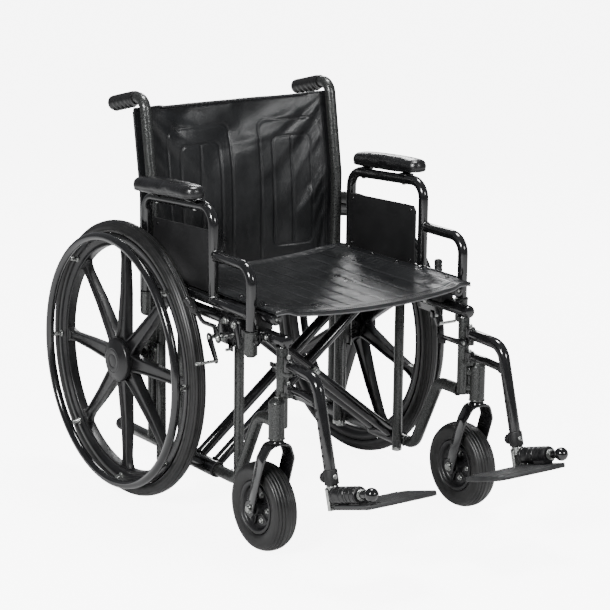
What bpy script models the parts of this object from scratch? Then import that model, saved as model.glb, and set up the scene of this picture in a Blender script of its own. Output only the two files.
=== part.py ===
"""Folding manual wheelchair with swing-away footrests, built piece by piece.

Left-hand shapes are modelled at +X and mirrored for the right-hand side.
Y = 0 in the sizes below is the rear axle, -Y is forwards and Z = 0 is the floor;
the root empty then moves the chair so that its bounding box is centred.
"""

import math

import bmesh
import bpy
from mathutils import Matrix, Vector

GAP = 0.0003
AXLE_SHIFT = 0.2640

# frame
RAIL_X = 0.234
RAIL_R = 0.0125
POST_R = 0.011
LOW_RAIL_Z = 0.107
TOP_RAIL_Z = 0.447
SEAT_RAIL_Z = 0.486
CANE_X = 0.2435
CANE_LEAN_Y, CANE_LEAN_Z = -0.008, 0.665  # above this point the cane leans back
CANE_BEND_Y, CANE_BEND_Z = 0.0265, 0.8745
HANDLE_DROP = math.radians(14)
INNER_POST_X = 0.2102
MID_POST_Y = -0.302
INNER_POST_Y = -0.075
AXLE_POST_Y = -0.040
FRONT_POST_Y = -0.498

# cross brace: tube lanes along Y
BRACE_A_LANES = (-0.168, -0.236)
BRACE_B_LANES = (-0.196, -0.264)
SLEEVE_BORE = 0.0133
SLEEVE_R = 0.0176

# rear wheels
AXLE_Z = 0.305
WHEEL_X = 0.306
TYRE_R = 0.305
RIM_R = 0.2775
HANDRIM_X = 0.3485
HANDRIM_R = 0.2731
HANDRIM_TUBE_R = 0.0096
LEFT_WHEEL_TURN = 16.0
WHEEL_SIDES = 40

# casters
CASTER_X = 0.2595
SWIVEL_Y = -0.517
CASTER_Y = -0.474
CASTER_R = 0.094
CASTER_SIDES = 28
HOUSING_R = 0.0165

# footrests
HANGER_X = 0.237
HANGER_PIN_Y = -0.5205
HANGER_TUBE_R = 0.012
FOOT_Y = -0.6875
FOOT_Z = 0.174
FOOT_LEAN = math.atan(0.292)
PIVOT_X = 0.2405

# armrests
ARM_X = 0.272
ARM_R = 0.011
ARM_FRONT_Y = -0.440
ARM_LOOP_Y = -0.297
ARM_REAR_Y = -0.028
PAD_X, PAD_Y, PAD_LENGTH = 0.289, -0.1465, 0.243

# wheel locks
LOCK_Y = -0.336
LOCK_Z = 0.423
SHOE_Y = -0.309
SHOE_Z = 0.420

FORWARDS = Vector((0, -math.cos(FOOT_LEAN), math.sin(FOOT_LEAN)))
UP_TUBE = Vector((0, math.sin(FOOT_LEAN), math.cos(FOOT_LEAN)))
FOOT = Vector((0, FOOT_Y, FOOT_Z))
SIDES = {"right": -1, "left": 1}


def clear_scene():
    for obj in list(bpy.data.objects):
        bpy.data.objects.remove(obj, do_unlink=True)


def material(name, colour, roughness, metallic=0.0):
    made = bpy.data.materials.new(name)
    made.use_nodes = True
    shader = made.node_tree.nodes["Principled BSDF"]
    shader.inputs["Base Color"].default_value = (*colour, 1)
    shader.inputs["Roughness"].default_value = roughness
    shader.inputs["Metallic"].default_value = metallic
    return made


def rounded_path(points, radius, step=22.5):
    """The polyline with each inner corner turned into an arc of this radius."""
    points = [Vector(p) for p in points]
    path = [points[0]]
    for before, corner, after in zip(points, points[1:], points[2:]):
        back, on = (before - corner).normalized(), (after - corner).normalized()
        turn = math.pi - back.angle(on)
        reach = radius * math.tan(turn / 2)
        centre = corner + (back + on).normalized() * math.hypot(radius, reach)
        start = corner + back * reach - centre
        axis = start.cross(corner + on * reach - centre).normalized()
        count = max(2, round(math.degrees(turn) / step))
        for i in range(count + 1):
            path.append(centre + Matrix.Rotation(turn * i / count, 3, axis) @ start)
    path.append(points[-1])
    return path


def frames_along(path):
    tangents = []
    for i, here in enumerate(path):
        before = (here - path[i - 1]).normalized() if i else Vector((0, 0, 0))
        after = (path[i + 1] - here).normalized() if i + 1 < len(path) else Vector((0, 0, 0))
        tangents.append((before + after).normalized())
    side = tangents[0].orthogonal().normalized()
    frames = []
    for i, (here, along) in enumerate(zip(path, tangents)):
        if i:
            side = tangents[i - 1].rotation_difference(along) @ side
        other = along.cross(side)
        turned = Matrix((side, other, along)).transposed().to_4x4()
        frames.append(Matrix.Translation(here) @ turned)
    return frames


def tube(points, radius, sides=8, bend=0.03, step=22.5):
    path = rounded_path(points, bend, step)
    frames = frames_along(path)
    bm = bmesh.new()
    bmesh.ops.create_circle(bm, segments=sides, radius=radius, matrix=frames[0])
    ring = list(bm.edges)
    ends = [ring]
    for before, here in zip(frames, frames[1:]):
        made = bmesh.ops.extrude_edge_only(bm, edges=ring)["geom"]
        verts = [g for g in made if isinstance(g, bmesh.types.BMVert)]
        ring = [g for g in made if isinstance(g, bmesh.types.BMEdge)]
        ring = [e for e in ring if all(v in set(verts) for v in e.verts)]
        bmesh.ops.transform(bm, matrix=here @ before.inverted(), verts=verts)
    ends.append(ring)
    for end in ends:
        bmesh.ops.edgeloop_fill(bm, edges=end)
    bmesh.ops.recalc_face_normals(bm, faces=bm.faces)
    return bm


def block(low, high, turn=None, about=(0, 0, 0)):
    bm = bmesh.new()
    low, high = Vector(low), Vector(high)
    size = Matrix.Diagonal((*(high - low), 1))
    bmesh.ops.create_cube(bm, size=1, matrix=Matrix.Translation((low + high) / 2) @ size)
    if turn:
        bmesh.ops.rotate(bm, cent=about, matrix=turn, verts=bm.verts)
    return bm


def prism(outline, low, high):
    """A flat plate: the outline is (y, z) corners, and the plate runs from x low to high."""
    bm = bmesh.new()
    face = bm.faces.new([bm.verts.new((low, y, z)) for y, z in outline])
    made = bmesh.ops.extrude_face_region(bm, geom=[face])["geom"]
    verts = [g for g in made if isinstance(g, bmesh.types.BMVert)]
    bmesh.ops.translate(bm, vec=(high - low, 0, 0), verts=verts)
    bmesh.ops.recalc_face_normals(bm, faces=bm.faces)
    return bm


def lathe(profile, centre, axis, segments, phase=0.0):
    """A closed profile of (radius, distance along the axis) turned about the axis."""
    bm = bmesh.new()
    centre, axis = Vector(centre), Vector(axis).normalized()
    start = Vector((0, 0, 1)) if abs(axis.x) > 0.9 else Vector((1, 0, 0))
    out = Matrix.Rotation(phase, 3, axis) @ start
    verts = [bm.verts.new(centre + out * r + axis * t) for r, t in profile]
    loop = zip(verts, verts[1:] + verts[:1], profile, profile[1:] + profile[:1])
    edges = [bm.edges.new((a, b)) for a, b, (ra, _), (rb, _) in loop if ra or rb]
    bmesh.ops.spin(
        bm, geom=verts + edges, cent=centre, axis=axis, angle=2 * math.pi,
        steps=segments, use_merge=True, use_duplicate=False,
    )
    bmesh.ops.remove_doubles(bm, verts=bm.verts, dist=1e-6)
    bmesh.ops.recalc_face_normals(bm, faces=bm.faces)
    return bm


def mirrored_profile(half):
    return half + [(r, -t) for r, t in reversed(half)]


def wheel_lathe(profile, centre, segments):
    """A lathe about X whose lowest side is flat, so that a wheel stands still on it."""
    return lathe(profile, centre, (1, 0, 0), segments, math.pi / segments)


def round_radius(radius, segments):
    """The corner radius of a polygon whose sides lie at this radius."""
    return radius / math.cos(math.pi / segments)


def empty(name, place, parent=None):
    """An empty at a world place (before the root's own shift)."""
    made = bpy.data.objects.new(name, None)
    made.empty_display_size = 0.04
    bpy.context.scene.collection.objects.link(made)
    if parent:
        made.parent = parent
        made.location = Vector(place) - Vector(parent["place"])
    made["place"] = list(place)
    return made


def mesh_object(name, bm, side, holder, hidden):
    if side < 0:
        bmesh.ops.scale(bm, vec=(-1, 1, 1), verts=bm.verts)
        bmesh.ops.reverse_faces(bm, faces=bm.faces)
    bmesh.ops.translate(bm, vec=-Vector(holder["place"]), verts=bm.verts)
    mesh = bpy.data.meshes.new(name)
    bm.to_mesh(mesh)
    bm.free()
    made = bpy.data.objects.new(name, mesh)
    made.parent = holder
    if hidden:
        made.hide_render = True
        made.display_type = "WIRE"
    return made


def piece(name, shapes, side, holder, look, cuts=(), smooth=True):
    """One solid node: its first shape joined with the others, less the cuts."""
    made = mesh_object(name, shapes[0], side, holder, hidden=False)
    made.data.materials.append(look)
    bpy.context.scene.collection.objects.link(made)
    if smooth:
        made.data.polygons.foreach_set("use_smooth", [True] * len(made.data.polygons))
        made.data.set_sharp_from_angle(angle=math.radians(38))
    for kind, extra in (("UNION", shapes[1:]), ("DIFFERENCE", cuts)):
        if not extra:
            continue
        group = bpy.data.collections.new(f"{name} {kind.lower()}")
        group.hide_render = True
        bpy.context.scene.collection.children.link(group)
        for i, bm in enumerate(extra):
            group.objects.link(mesh_object(f"{name} {kind.lower()} {i}", bm, side, holder, hidden=True))
        modifier = made.modifiers.new(kind.title(), "BOOLEAN")
        modifier.operation = kind
        modifier.solver = "EXACT"
        modifier.operand_type = "COLLECTION"
        modifier.collection = group
    return made


def on_side(side, x, y, z):
    return (side * x, y, z)


def side_frame(label, side, body, look):
    def add(name, shapes, colour, **more):
        piece(f"{name}_{label}", shapes, side, body, look[colour], **more)

    rail = [(RAIL_X, 0.150, LOW_RAIL_Z), (RAIL_X, -0.335, LOW_RAIL_Z),
            (RAIL_X, -0.4165, 0.270), (RAIL_X, FRONT_POST_Y + RAIL_R + GAP, 0.270)]
    add("lower_rail", [
        tube(rail, RAIL_R, 10, bend=0.035),
        tube([(CANE_X, AXLE_POST_Y, 0.072), (CANE_X, AXLE_POST_Y, 0.110)], POST_R, 8),
        lathe([(0, 0), (0.0145, 0), (0.0145, 0.030), (0.011, 0.035), (0, 0.036)],
              (RAIL_X, 0.120, LOW_RAIL_Z), (0, 1, 0), 10),
    ], "hammertone")

    cap = [(0, 0), (0.0138, 0), (0.0138, 0.006), (0.010, 0.012), (0, 0.014)]
    add("top_rail", [
        tube([(RAIL_X, -0.0208, TOP_RAIL_Z), (RAIL_X, -0.506, TOP_RAIL_Z)], RAIL_R, 10),
        lathe(cap, (RAIL_X, -0.505, TOP_RAIL_Z), (0, -1, 0), 10),
        block((0.226, -0.438, 0.452), (0.242, -0.404, SEAT_RAIL_Z - RAIL_R - GAP)),
        block((0.226, -0.124, 0.452), (0.242, -0.090, SEAT_RAIL_Z - RAIL_R - GAP)),
        block((0.236, ARM_FRONT_Y - 0.012, 0.437), (ARM_X - 0.0138 - GAP, ARM_FRONT_Y + 0.012, 0.457)),
        block((0.236, ARM_REAR_Y - 0.012, 0.437), (ARM_X - 0.0138 - GAP, ARM_REAR_Y + 0.006, 0.457)),
    ], "black_gloss")

    below_top = TOP_RAIL_Z - RAIL_R - GAP
    above_low = LOW_RAIL_Z + RAIL_R + GAP
    housing = [(0, 0.085), (0.009, 0.0835), (0.0145, 0.079), (HOUSING_R, 0.074), (HOUSING_R, 0),
               (0.0088, 0), (0.0088, 0.072), (0, 0.072)]
    towards = Vector((CASTER_X - RAIL_X, SWIVEL_Y - FRONT_POST_Y, 0))
    reach = towards * (1 - 0.0125 / towards.length)

    def weld(z):
        start = Vector((RAIL_X, FRONT_POST_Y, z))
        return tube([start, start + reach], 0.0095, 8)

    def lug(z):
        return block((RAIL_X - 0.007, HANGER_PIN_Y - 0.007, z), (RAIL_X + 0.007, FRONT_POST_Y, z + 0.009))

    def pin(z, length):
        at = Vector((RAIL_X, HANGER_PIN_Y, z))
        return tube([at, at + Vector((0, 0, length))], 0.0042, 8)

    add("front_post", [
        tube([(RAIL_X, FRONT_POST_Y, 0.263), (RAIL_X, FRONT_POST_Y, 0.4328)], RAIL_R, 10),
        lathe(housing, (CASTER_X, SWIVEL_Y, 0.249), (0, 0, 1), 12),
        weld(0.277), weld(0.312),
        lug(0.3765), pin(0.380, 0.040),
        lug(0.3325), pin(0.336, 0.028),
    ], "hammertone")

    add("mid_post", [tube([(INNER_POST_X, MID_POST_Y, 0.088), (INNER_POST_X, MID_POST_Y, 0.440)], POST_R, 10)],
        "hammertone")
    add("inner_post", [tube([(INNER_POST_X, INNER_POST_Y, 0.092), (INNER_POST_X, INNER_POST_Y, 0.440)],
                            POST_R, 10)], "hammertone")
    plate = [(-0.053, 0.268), (0.018, 0.268), (0.022, 0.276), (0.022, 0.336), (0.018, 0.344), (-0.053, 0.344)]
    add("axle_post", [
        tube([(CANE_X, AXLE_POST_Y, above_low), (CANE_X, AXLE_POST_Y, below_top)], POST_R, 10),
        prism(plate, 0.2564, 0.2604),
        block((0.240, AXLE_POST_Y - 0.010, 0.272), (0.2584, AXLE_POST_Y + 0.010, 0.340)),
        lathe([(0, 0), (0.013, 0), (0.013, 0.008), (0.0066, 0.009), (0.0066, 0.073), (0, 0.073)],
              (0.2590, 0, AXLE_Z), (1, 0, 0), 10),
    ], "hammertone")

    corner = Vector((CANE_X, CANE_BEND_Y, CANE_BEND_Z))
    handle = Vector((0, math.cos(HANDLE_DROP), -math.sin(HANDLE_DROP)))
    cane = [(CANE_X, -0.006, above_low), (CANE_X, CANE_LEAN_Y, CANE_LEAN_Z), corner, corner + handle * 0.126]
    add("back_cane", [tube(cane, RAIL_R, 10, bend=0.028)], "hammertone")
    grip = [(0.0131, 0), (0.0150, 0), (0.0158, 0.004), (0.0158, 0.093), (0.0145, 0.100), (0.009, 0.104),
            (0, 0.104), (0, 0.0940), (0.0131, 0.0940)]
    add("push_grip", [lathe(grip, corner + handle * 0.033, handle, 12)], "rubber")

    socket = [(0, 0), (0.010, 0), (0.0140, 0.004), (0.0140, 0.054), (0.0119, 0.054), (0.0119, 0.006), (0, 0.006)]
    for name, y in (("front_arm_socket", ARM_FRONT_Y), ("rear_arm_socket", ARM_REAR_Y)):
        add(name, [lathe(socket, (ARM_X, y, 0.405), (0, 0, 1), 10)], "hammertone")

    add("wheel_lock_mount", [
        block((0.2468, -0.384, 0.428), (0.2625, -0.336, 0.468)),
        prism([(-0.386, 0.408), (-0.372, 0.470), (-0.318, 0.470), (-0.298, 0.428), (-0.298, 0.410)], 0.2620, 0.2655),
        tube([(0.2640, LOCK_Y, LOCK_Z), (0.2824, LOCK_Y, LOCK_Z)], 0.007, 8),
        tube([(0.2640, SHOE_Y, SHOE_Z), (0.2872, SHOE_Y, SHOE_Z)], 0.005, 8),
    ], "black_gloss")


def cross_brace(label, side, body, look, lanes, nut_side):
    """One member: its two tubes climb from the sleeve at this side to the other side's seat rail."""
    foot = Vector((RAIL_X, 0, LOW_RAIL_Z))
    head = Vector((-RAIL_X, 0, SEAT_RAIL_Z))
    along = (head - foot).normalized()
    shapes = []
    ends = (max(lanes) + 0.018, min(lanes) - 0.018)
    length = ends[0] - ends[1]
    sleeve = [(SLEEVE_BORE, 0), (SLEEVE_R, 0), (SLEEVE_R, length), (SLEEVE_BORE, length)]
    shapes.append(lathe(sleeve, (RAIL_X, ends[0], LOW_RAIL_Z), (0, -1, 0), 12))
    middle = (foot + head) / 2
    for lane in lanes:
        start = foot + along * (SLEEVE_R - 0.0012)
        end = head - along * (RAIL_R + GAP)
        at = Vector((0, lane, 0))
        shapes.append(tube([start + at, end + at], RAIL_R, 10))
        face = lane + nut_side * RAIL_R
        shapes.append(tube([middle + Vector((0, face - nut_side * 0.004, 0)),
                            middle + Vector((0, face + nut_side * 0.0072, 0))], 0.009, 8))
        inner = lane - nut_side * RAIL_R
        shapes.append(tube([middle + Vector((0, inner + nut_side * 0.004, 0)),
                            middle + Vector((0, inner - nut_side * 0.0013, 0))], 0.010, 8))
    piece(f"cross_brace_{label}", shapes, side, body, look["black_gloss"])


def seat_rail(label, side, body, look):
    start, length = -0.478, 0.443
    cap = [(0, 0), (0.0120, 0.001), (0.0135, 0.004), (0.0135, 0.012), (RAIL_R, 0.012),
           (RAIL_R, length - 0.012), (0.0135, length - 0.012), (0.0135, length - 0.004),
           (0.0120, length - 0.001), (0, length)]
    profile = [(min(r, RAIL_R), t) for r, t in cap]
    profile = [profile[0], profile[1], (RAIL_R, 0.004), (RAIL_R, length - 0.004), profile[-2], profile[-1]]
    piece(f"seat_rail_{label}", [lathe(profile, (RAIL_X, start, SEAT_RAIL_Z), (0, 1, 0), 10)],
          side, body, look["black_gloss"])


def rear_wheel(label, side, body, look):
    turn = math.radians(LEFT_WHEEL_TURN if side > 0 else 0.0)
    hub = [(0, 0.0395), (0.026, 0.0385), (0.030, 0.0345), (0.0475, 0.0300), (0.0475, 0.0200), (0.034, 0.0120),
           (0.031, -0.030), (0.024, -0.0365), (0.0072, -0.0365), (0.0072, 0.0290), (0, 0.0290)]
    centre = Vector((WHEEL_X, 0, AXLE_Z))
    rim = [(0.2500, -0.0090), (0.2500, 0.0090), (0.2630, 0.0140), (RIM_R, 0.0140), (RIM_R, -0.0140),
           (0.2630, -0.0140)]
    shapes = [wheel_lathe(rim, centre, WHEEL_SIDES), lathe(hub, centre, (1, 0, 0), 20)]
    for i in range(8):
        spin = Matrix.Rotation(turn + i * math.pi / 4, 3, "X")
        bm = bmesh.new()
        bmesh.ops.create_cube(bm, size=1, matrix=Matrix.Translation((WHEEL_X, 0, AXLE_Z + 0.145))
                              @ Matrix.Diagonal((1, 1, 0.226, 1)))
        for vert in bm.verts:
            near = vert.co.z < AXLE_Z + 0.145
            half, deep = (0.0155, 0.0105) if near else (0.0100, 0.0080)
            vert.co.y = half if vert.co.y > 0 else -half
            vert.co.x = WHEEL_X + (deep if vert.co.x > WHEEL_X else -deep) + (0.006 if near else 0.0)
        bmesh.ops.rotate(bm, cent=(WHEEL_X, 0, AXLE_Z), matrix=spin, verts=bm.verts)
        shapes.append(bm)
    piece(f"rear_wheel_{label}", shapes, side, body, look["plastic"])

    half = [(RIM_R + GAP, -0.0135), (0.2880, -0.0185), (0.2955, -0.0180), (0.3015, -0.0125),
            (round_radius(TYRE_R, WHEEL_SIDES), -0.0045)]
    piece(f"rear_tyre_{label}", [wheel_lathe(mirrored_profile(half), centre, WHEEL_SIDES)], side, body,
          look["rubber"])

    ring = [(HANDRIM_R + HANDRIM_TUBE_R * math.cos(a), HANDRIM_TUBE_R * math.sin(a))
            for a in [i * math.pi / 3 for i in range(6)]]
    shapes = [wheel_lathe(ring, (HANDRIM_X, 0, AXLE_Z), WHEEL_SIDES)]
    for i in range(8):
        spin = Matrix.Rotation(turn + i * math.pi / 4, 3, "X")
        low = centre + spin @ Vector((0.0153, 0, 0.2668))
        high = centre + spin @ Vector((HANDRIM_X - WHEEL_X - 0.004, 0, 0.2708))
        shapes.append(tube([low, high], 0.0048, 6))
    piece(f"handrim_{label}", shapes, side, body, look["hammertone"])


def caster(label, side, swivel, roll, look):
    axle = Vector((CASTER_X, CASTER_Y, CASTER_R))
    leg = [(SWIVEL_Y - 0.017, 0.2430), (SWIVEL_Y + 0.017, 0.2430), (SWIVEL_Y + 0.019, 0.226)]
    for a in range(0, 181, 36):
        at = math.radians(a - 16)
        leg.append((CASTER_Y + 0.0165 * math.cos(at), CASTER_R - 0.0165 * math.sin(at)))
    leg.append((SWIVEL_Y - 0.019, 0.226))
    shapes = [block((CASTER_X - 0.0355, SWIVEL_Y - 0.017, 0.2370), (CASTER_X + 0.0355, SWIVEL_Y + 0.017, 0.2427))]
    shapes += [prism(leg, CASTER_X + s * 0.0308, CASTER_X + s * 0.0360) for s in (-1, 1)]
    shapes.append(tube([axle - Vector((0.041, 0, 0)), axle + Vector((0.041, 0, 0))], 0.0052, 8))
    stem = [(0, 0), (0.0135, 0), (0.0135, 0.0070), (0.0080, 0.0080), (0.0080, 0.078), (0, 0.078)]
    shapes.append(lathe(stem, (CASTER_X, SWIVEL_Y, 0.2405), (0, 0, 1), 10))
    piece(f"caster_fork_{label}", shapes, side, swivel, look["black_gloss"])

    half = [(0.0058, -0.0290), (0.0170, -0.0290), (0.0185, -0.0070), (0.0440, -0.0070), (0.0480, -0.0205),
            (0.0557, -0.0215)]
    piece(f"caster_wheel_{label}", [wheel_lathe(mirrored_profile(half), axle, CASTER_SIDES)], side, roll,
          look["plastic"])
    half = [(0.0560, -0.0210), (0.0640, -0.0255), (0.0780, -0.0270), (0.0870, -0.0240), (0.0925, -0.0150),
            (round_radius(CASTER_R, CASTER_SIDES), -0.0060)]
    piece(f"caster_tyre_{label}", [wheel_lathe(mirrored_profile(half), axle, CASTER_SIDES)], side, roll,
          look["rubber"])


def on_tube(distance, x=HANGER_X):
    """A point on the sloping tube's axis, this far up from the footplate's pivot line."""
    return FOOT + UP_TUBE * distance + Vector((x, 0, 0))


def footrest(label, side, bodies, look):
    top = on_tube(0.228)
    bottom = on_tube(0.0195)
    reach = HANGER_PIN_Y - 0.0075
    sleeve = [(0.0047, 0), (0.0100, 0), (0.0100, 0.028), (0.0047, 0.028)]
    low_sleeve = [(0.0047, 0), (0.0090, 0), (0.0090, 0.020), (0.0047, 0.020)]
    brace_z = 0.3520
    brace_end = on_tube((brace_z - FOOT_Z) / math.cos(FOOT_LEAN))
    bore_low, bore_high = on_tube(0.010), on_tube(0.140)
    piece(f"footrest_hanger_{label}", [
        tube([(RAIL_X, reach, 0.4010), top + Vector((0, 0, 0.004)), bottom], HANGER_TUBE_R, 10, bend=0.036),
        tube([(RAIL_X, reach, brace_z), brace_end], 0.0085, 8),
        lathe(sleeve, (RAIL_X, HANGER_PIN_Y, 0.3868), (0, 0, 1), 10),
        lathe(low_sleeve, (RAIL_X, HANGER_PIN_Y, 0.3418), (0, 0, 1), 10),
        tube([on_tube(0.0195), on_tube(0.052)], 0.0150, 10),
        tube([on_tube(0.036) - FORWARDS * 0.010, on_tube(0.036) - FORWARDS * 0.026], 0.0105, 8),
    ], side, bodies["hanger"], look["black_gloss"],
        cuts=[tube([bore_low, bore_high], 0.0094, 10)])

    lever = [(-0.5290, 0.3780), (-0.5130, 0.3720), (-0.4330, 0.3740), (-0.4290, 0.3790), (-0.4330, 0.3850),
             (-0.5130, 0.3920), (-0.5290, 0.3900)]
    piece(f"footrest_latch_{label}", [
        prism(lever, 0.2165, 0.2195),
        block((0.2120, -0.4560, 0.3660), (0.2195, -0.4400, 0.3760)),
    ], side, bodies["latch"], look["black_gloss"])

    pivot = FOOT + Vector((PIVOT_X, 0, 0))

    def along(a, b, radius, sides=10):
        return tube([pivot + FORWARDS * a, pivot + FORWARDS * b], radius, sides)

    bracket = block((HANGER_X - 0.0150, -0.0045, -0.030), (HANGER_X + 0.0165, 0.0030, 0.0125),
                    Matrix.Rotation(-FOOT_LEAN, 3, "X"))
    bmesh.ops.translate(bracket, vec=FOOT, verts=bracket.verts)
    ball = bmesh.new()
    bmesh.ops.create_uvsphere(ball, u_segments=10, v_segments=8, radius=0.0150,
                              matrix=Matrix.Translation(pivot + FORWARDS * 0.136))
    piece(f"footrest_tube_{label}", [
        tube([on_tube(0.004), on_tube(0.118)], 0.0090, 10),
        bracket,
        along(-0.004, 0.136, 0.0060, 8),
        ball,
    ], side, bodies["extension"], look["zinc"])

    def ring(a, b, inner, outer):
        return lathe([(inner, 0), (outer, 0), (outer, b - a), (inner, b - a)], pivot + FORWARDS * a, FORWARDS, 12)

    piece(f"footplate_sleeve_{label}", [ring(0.0110, 0.0600, 0.0064, 0.0178)], side, bodies["sleeve"],
          look["plastic"])

    low, high = -0.0285, -0.0182
    outer, inner = PIVOT_X + 0.011, 0.075
    outline = [(outer, 0.014), (outer, 0.131), (0.205, 0.136), (inner + 0.012, 0.134), (inner, 0.120),
               (inner, 0.024), (inner + 0.012, 0.012), (0.205, 0.011)]
    bm = bmesh.new()
    corners = [bm.verts.new(FOOT + Vector((x, 0, 0)) + FORWARDS * s + UP_TUBE * low) for x, s in outline]
    face = bm.faces.new(corners)
    made = bmesh.ops.extrude_face_region(bm, geom=[face])["geom"]
    bmesh.ops.translate(bm, vec=UP_TUBE * (high - low),
                        verts=[g for g in made if isinstance(g, bmesh.types.BMVert)])
    bmesh.ops.recalc_face_normals(bm, faces=bm.faces)
    neck = block((PIVOT_X - 0.0140, 0.0640, -0.022), (PIVOT_X + 0.0040, 0.0960, -0.0070))
    turn = Matrix.Rotation(-FOOT_LEAN, 3, "X") @ Matrix.Diagonal((1, -1, 1))
    bmesh.ops.transform(neck, matrix=turn.to_4x4(), verts=neck.verts)
    bmesh.ops.reverse_faces(neck, faces=neck.faces)
    bmesh.ops.translate(neck, vec=FOOT, verts=neck.verts)
    piece(f"footplate_{label}", [bm, ring(0.0610, 0.0980, 0.0064, 0.0170), neck], side, bodies["plate"],
          look["plastic"])


def armrest(label, side, body, look):
    rear_top, front_top = 0.6697, 0.6885
    shapes = [
        tube([(ARM_X, ARM_REAR_Y, 0.425), (ARM_X, ARM_REAR_Y, rear_top), (ARM_X, ARM_LOOP_Y, front_top),
              (ARM_X, ARM_LOOP_Y, 0.494)], ARM_R, 8, bend=0.034),
        tube([(ARM_X, ARM_LOOP_Y, 0.590), (ARM_X, ARM_FRONT_Y, 0.590), (ARM_X, ARM_FRONT_Y, 0.425)], ARM_R, 8,
             bend=0.034),
        tube([(ARM_X, ARM_REAR_Y, 0.492), (ARM_X, ARM_FRONT_Y, 0.492)], 0.0105, 8),
    ]
    piece(f"arm_frame_{label}", shapes, side, body, look["black_gloss"])

    slope = (0.700 - 0.679) / 0.300
    tilt = math.atan(slope)
    pad = bmesh.new()
    bmesh.ops.create_cube(pad, size=1, matrix=Matrix.Diagonal((0.056, PAD_LENGTH, 0.029, 1)))
    upright = [e for e in pad.edges if abs(e.verts[0].co.z - e.verts[1].co.z) > 0.01]
    bmesh.ops.bevel(pad, geom=upright, offset=0.024, segments=3, profile=0.5, affect="EDGES")
    top = [e for e in pad.edges if all(v.co.z > 0 for v in e.verts)]
    bmesh.ops.bevel(pad, geom=top, offset=0.010, segments=2, profile=0.5, affect="EDGES")
    bmesh.ops.rotate(pad, cent=(0, 0, 0), matrix=Matrix.Rotation(-tilt, 3, "X"), verts=pad.verts)
    bmesh.ops.translate(pad, vec=(PAD_X, PAD_Y, 0.6815 - slope * PAD_Y + 0.0145), verts=pad.verts)
    piece(f"arm_pad_{label}", [pad], side, body, look["vinyl"])

    skirt = [(-0.040, 0.504), (-0.286, 0.504), (-0.286, 0.6290), (-0.272, 0.6315), (-0.040, 0.6210)]
    piece(f"skirt_panel_{label}", [prism(skirt, 0.2566, 0.2606)], side, body, look["plastic"], smooth=False)


def wheel_lock(label, side, lever_body, shoe_body, look):
    strap = [(LOCK_Y - 0.009, LOCK_Z - 0.006), (LOCK_Y, LOCK_Z - 0.011), (LOCK_Y + 0.009, LOCK_Z - 0.006),
             (LOCK_Y + 0.021, LOCK_Z + 0.021), (LOCK_Y + 0.009, LOCK_Z + 0.028), (LOCK_Y - 0.010, LOCK_Z + 0.004)]
    knee = Vector((0.2850, LOCK_Y + 0.014, LOCK_Z + 0.022))
    piece(f"wheel_lock_lever_{label}", [
        prism(strap, 0.2830, 0.2868),
        tube([knee, (0.3060, LOCK_Y + 0.024, LOCK_Z + 0.032), (0.3270, LOCK_Y + 0.050, LOCK_Z + 0.076)], 0.0045, 8,
             bend=0.010),
        tube([(0.3165, LOCK_Y + 0.036, LOCK_Z + 0.052), (0.3290, LOCK_Y + 0.0535, LOCK_Z + 0.0820)], 0.0090, 8),
    ], side, lever_body, look["black_gloss"])

    peg = Vector((0, -0.337, 0.375))
    shoe = [(SHOE_Y - 0.008, SHOE_Z + 0.006), (SHOE_Y + 0.008, SHOE_Z + 0.006), (SHOE_Y + 0.007, SHOE_Z - 0.006),
            (peg.y + 0.006, peg.z - 0.003), (peg.y - 0.004, peg.z - 0.006), (peg.y - 0.006, peg.z + 0.004)]
    piece(f"wheel_lock_shoe_{label}", [
        prism(shoe, 0.2876, 0.2914),
        tube([(0.2895, peg.y, peg.z), (0.3400, peg.y, peg.z)], 0.0045, 8),
    ], side, shoe_body, look["zinc"])


def seat_sling(body, look):
    """The seat's closed solid: it rests on both seat rails and sags between them."""
    bm = bmesh.new()
    count, edge = 12, 0.250
    rows = []
    for y in (-0.498, -0.030):
        low, high = [], []
        for i in range(count + 1):
            x = -edge + 2 * edge * i / count
            share = max(0.0, 1 - (x / 0.222) ** 2)
            top = 0.5075 - 0.015 * share
            low.append(bm.verts.new((x, y, top - 0.0085)))
            high.append(bm.verts.new((x, y, top)))
        rows.append((low, high))
    (low_a, high_a), (low_b, high_b) = rows
    for i in range(count):
        bm.faces.new((low_a[i], low_a[i + 1], high_a[i + 1], high_a[i]))
        bm.faces.new((low_b[i + 1], low_b[i], high_b[i], high_b[i + 1]))
        bm.faces.new((high_a[i], high_a[i + 1], high_b[i + 1], high_b[i]))
        bm.faces.new((low_a[i + 1], low_a[i], low_b[i], low_b[i + 1]))
    for i in (0, count):
        bm.faces.new((low_a[i], high_a[i], high_b[i], low_b[i]))
    bmesh.ops.recalc_face_normals(bm, faces=bm.faces)
    piece("seat_sling", [bm], 1, body, look["vinyl"])


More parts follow.
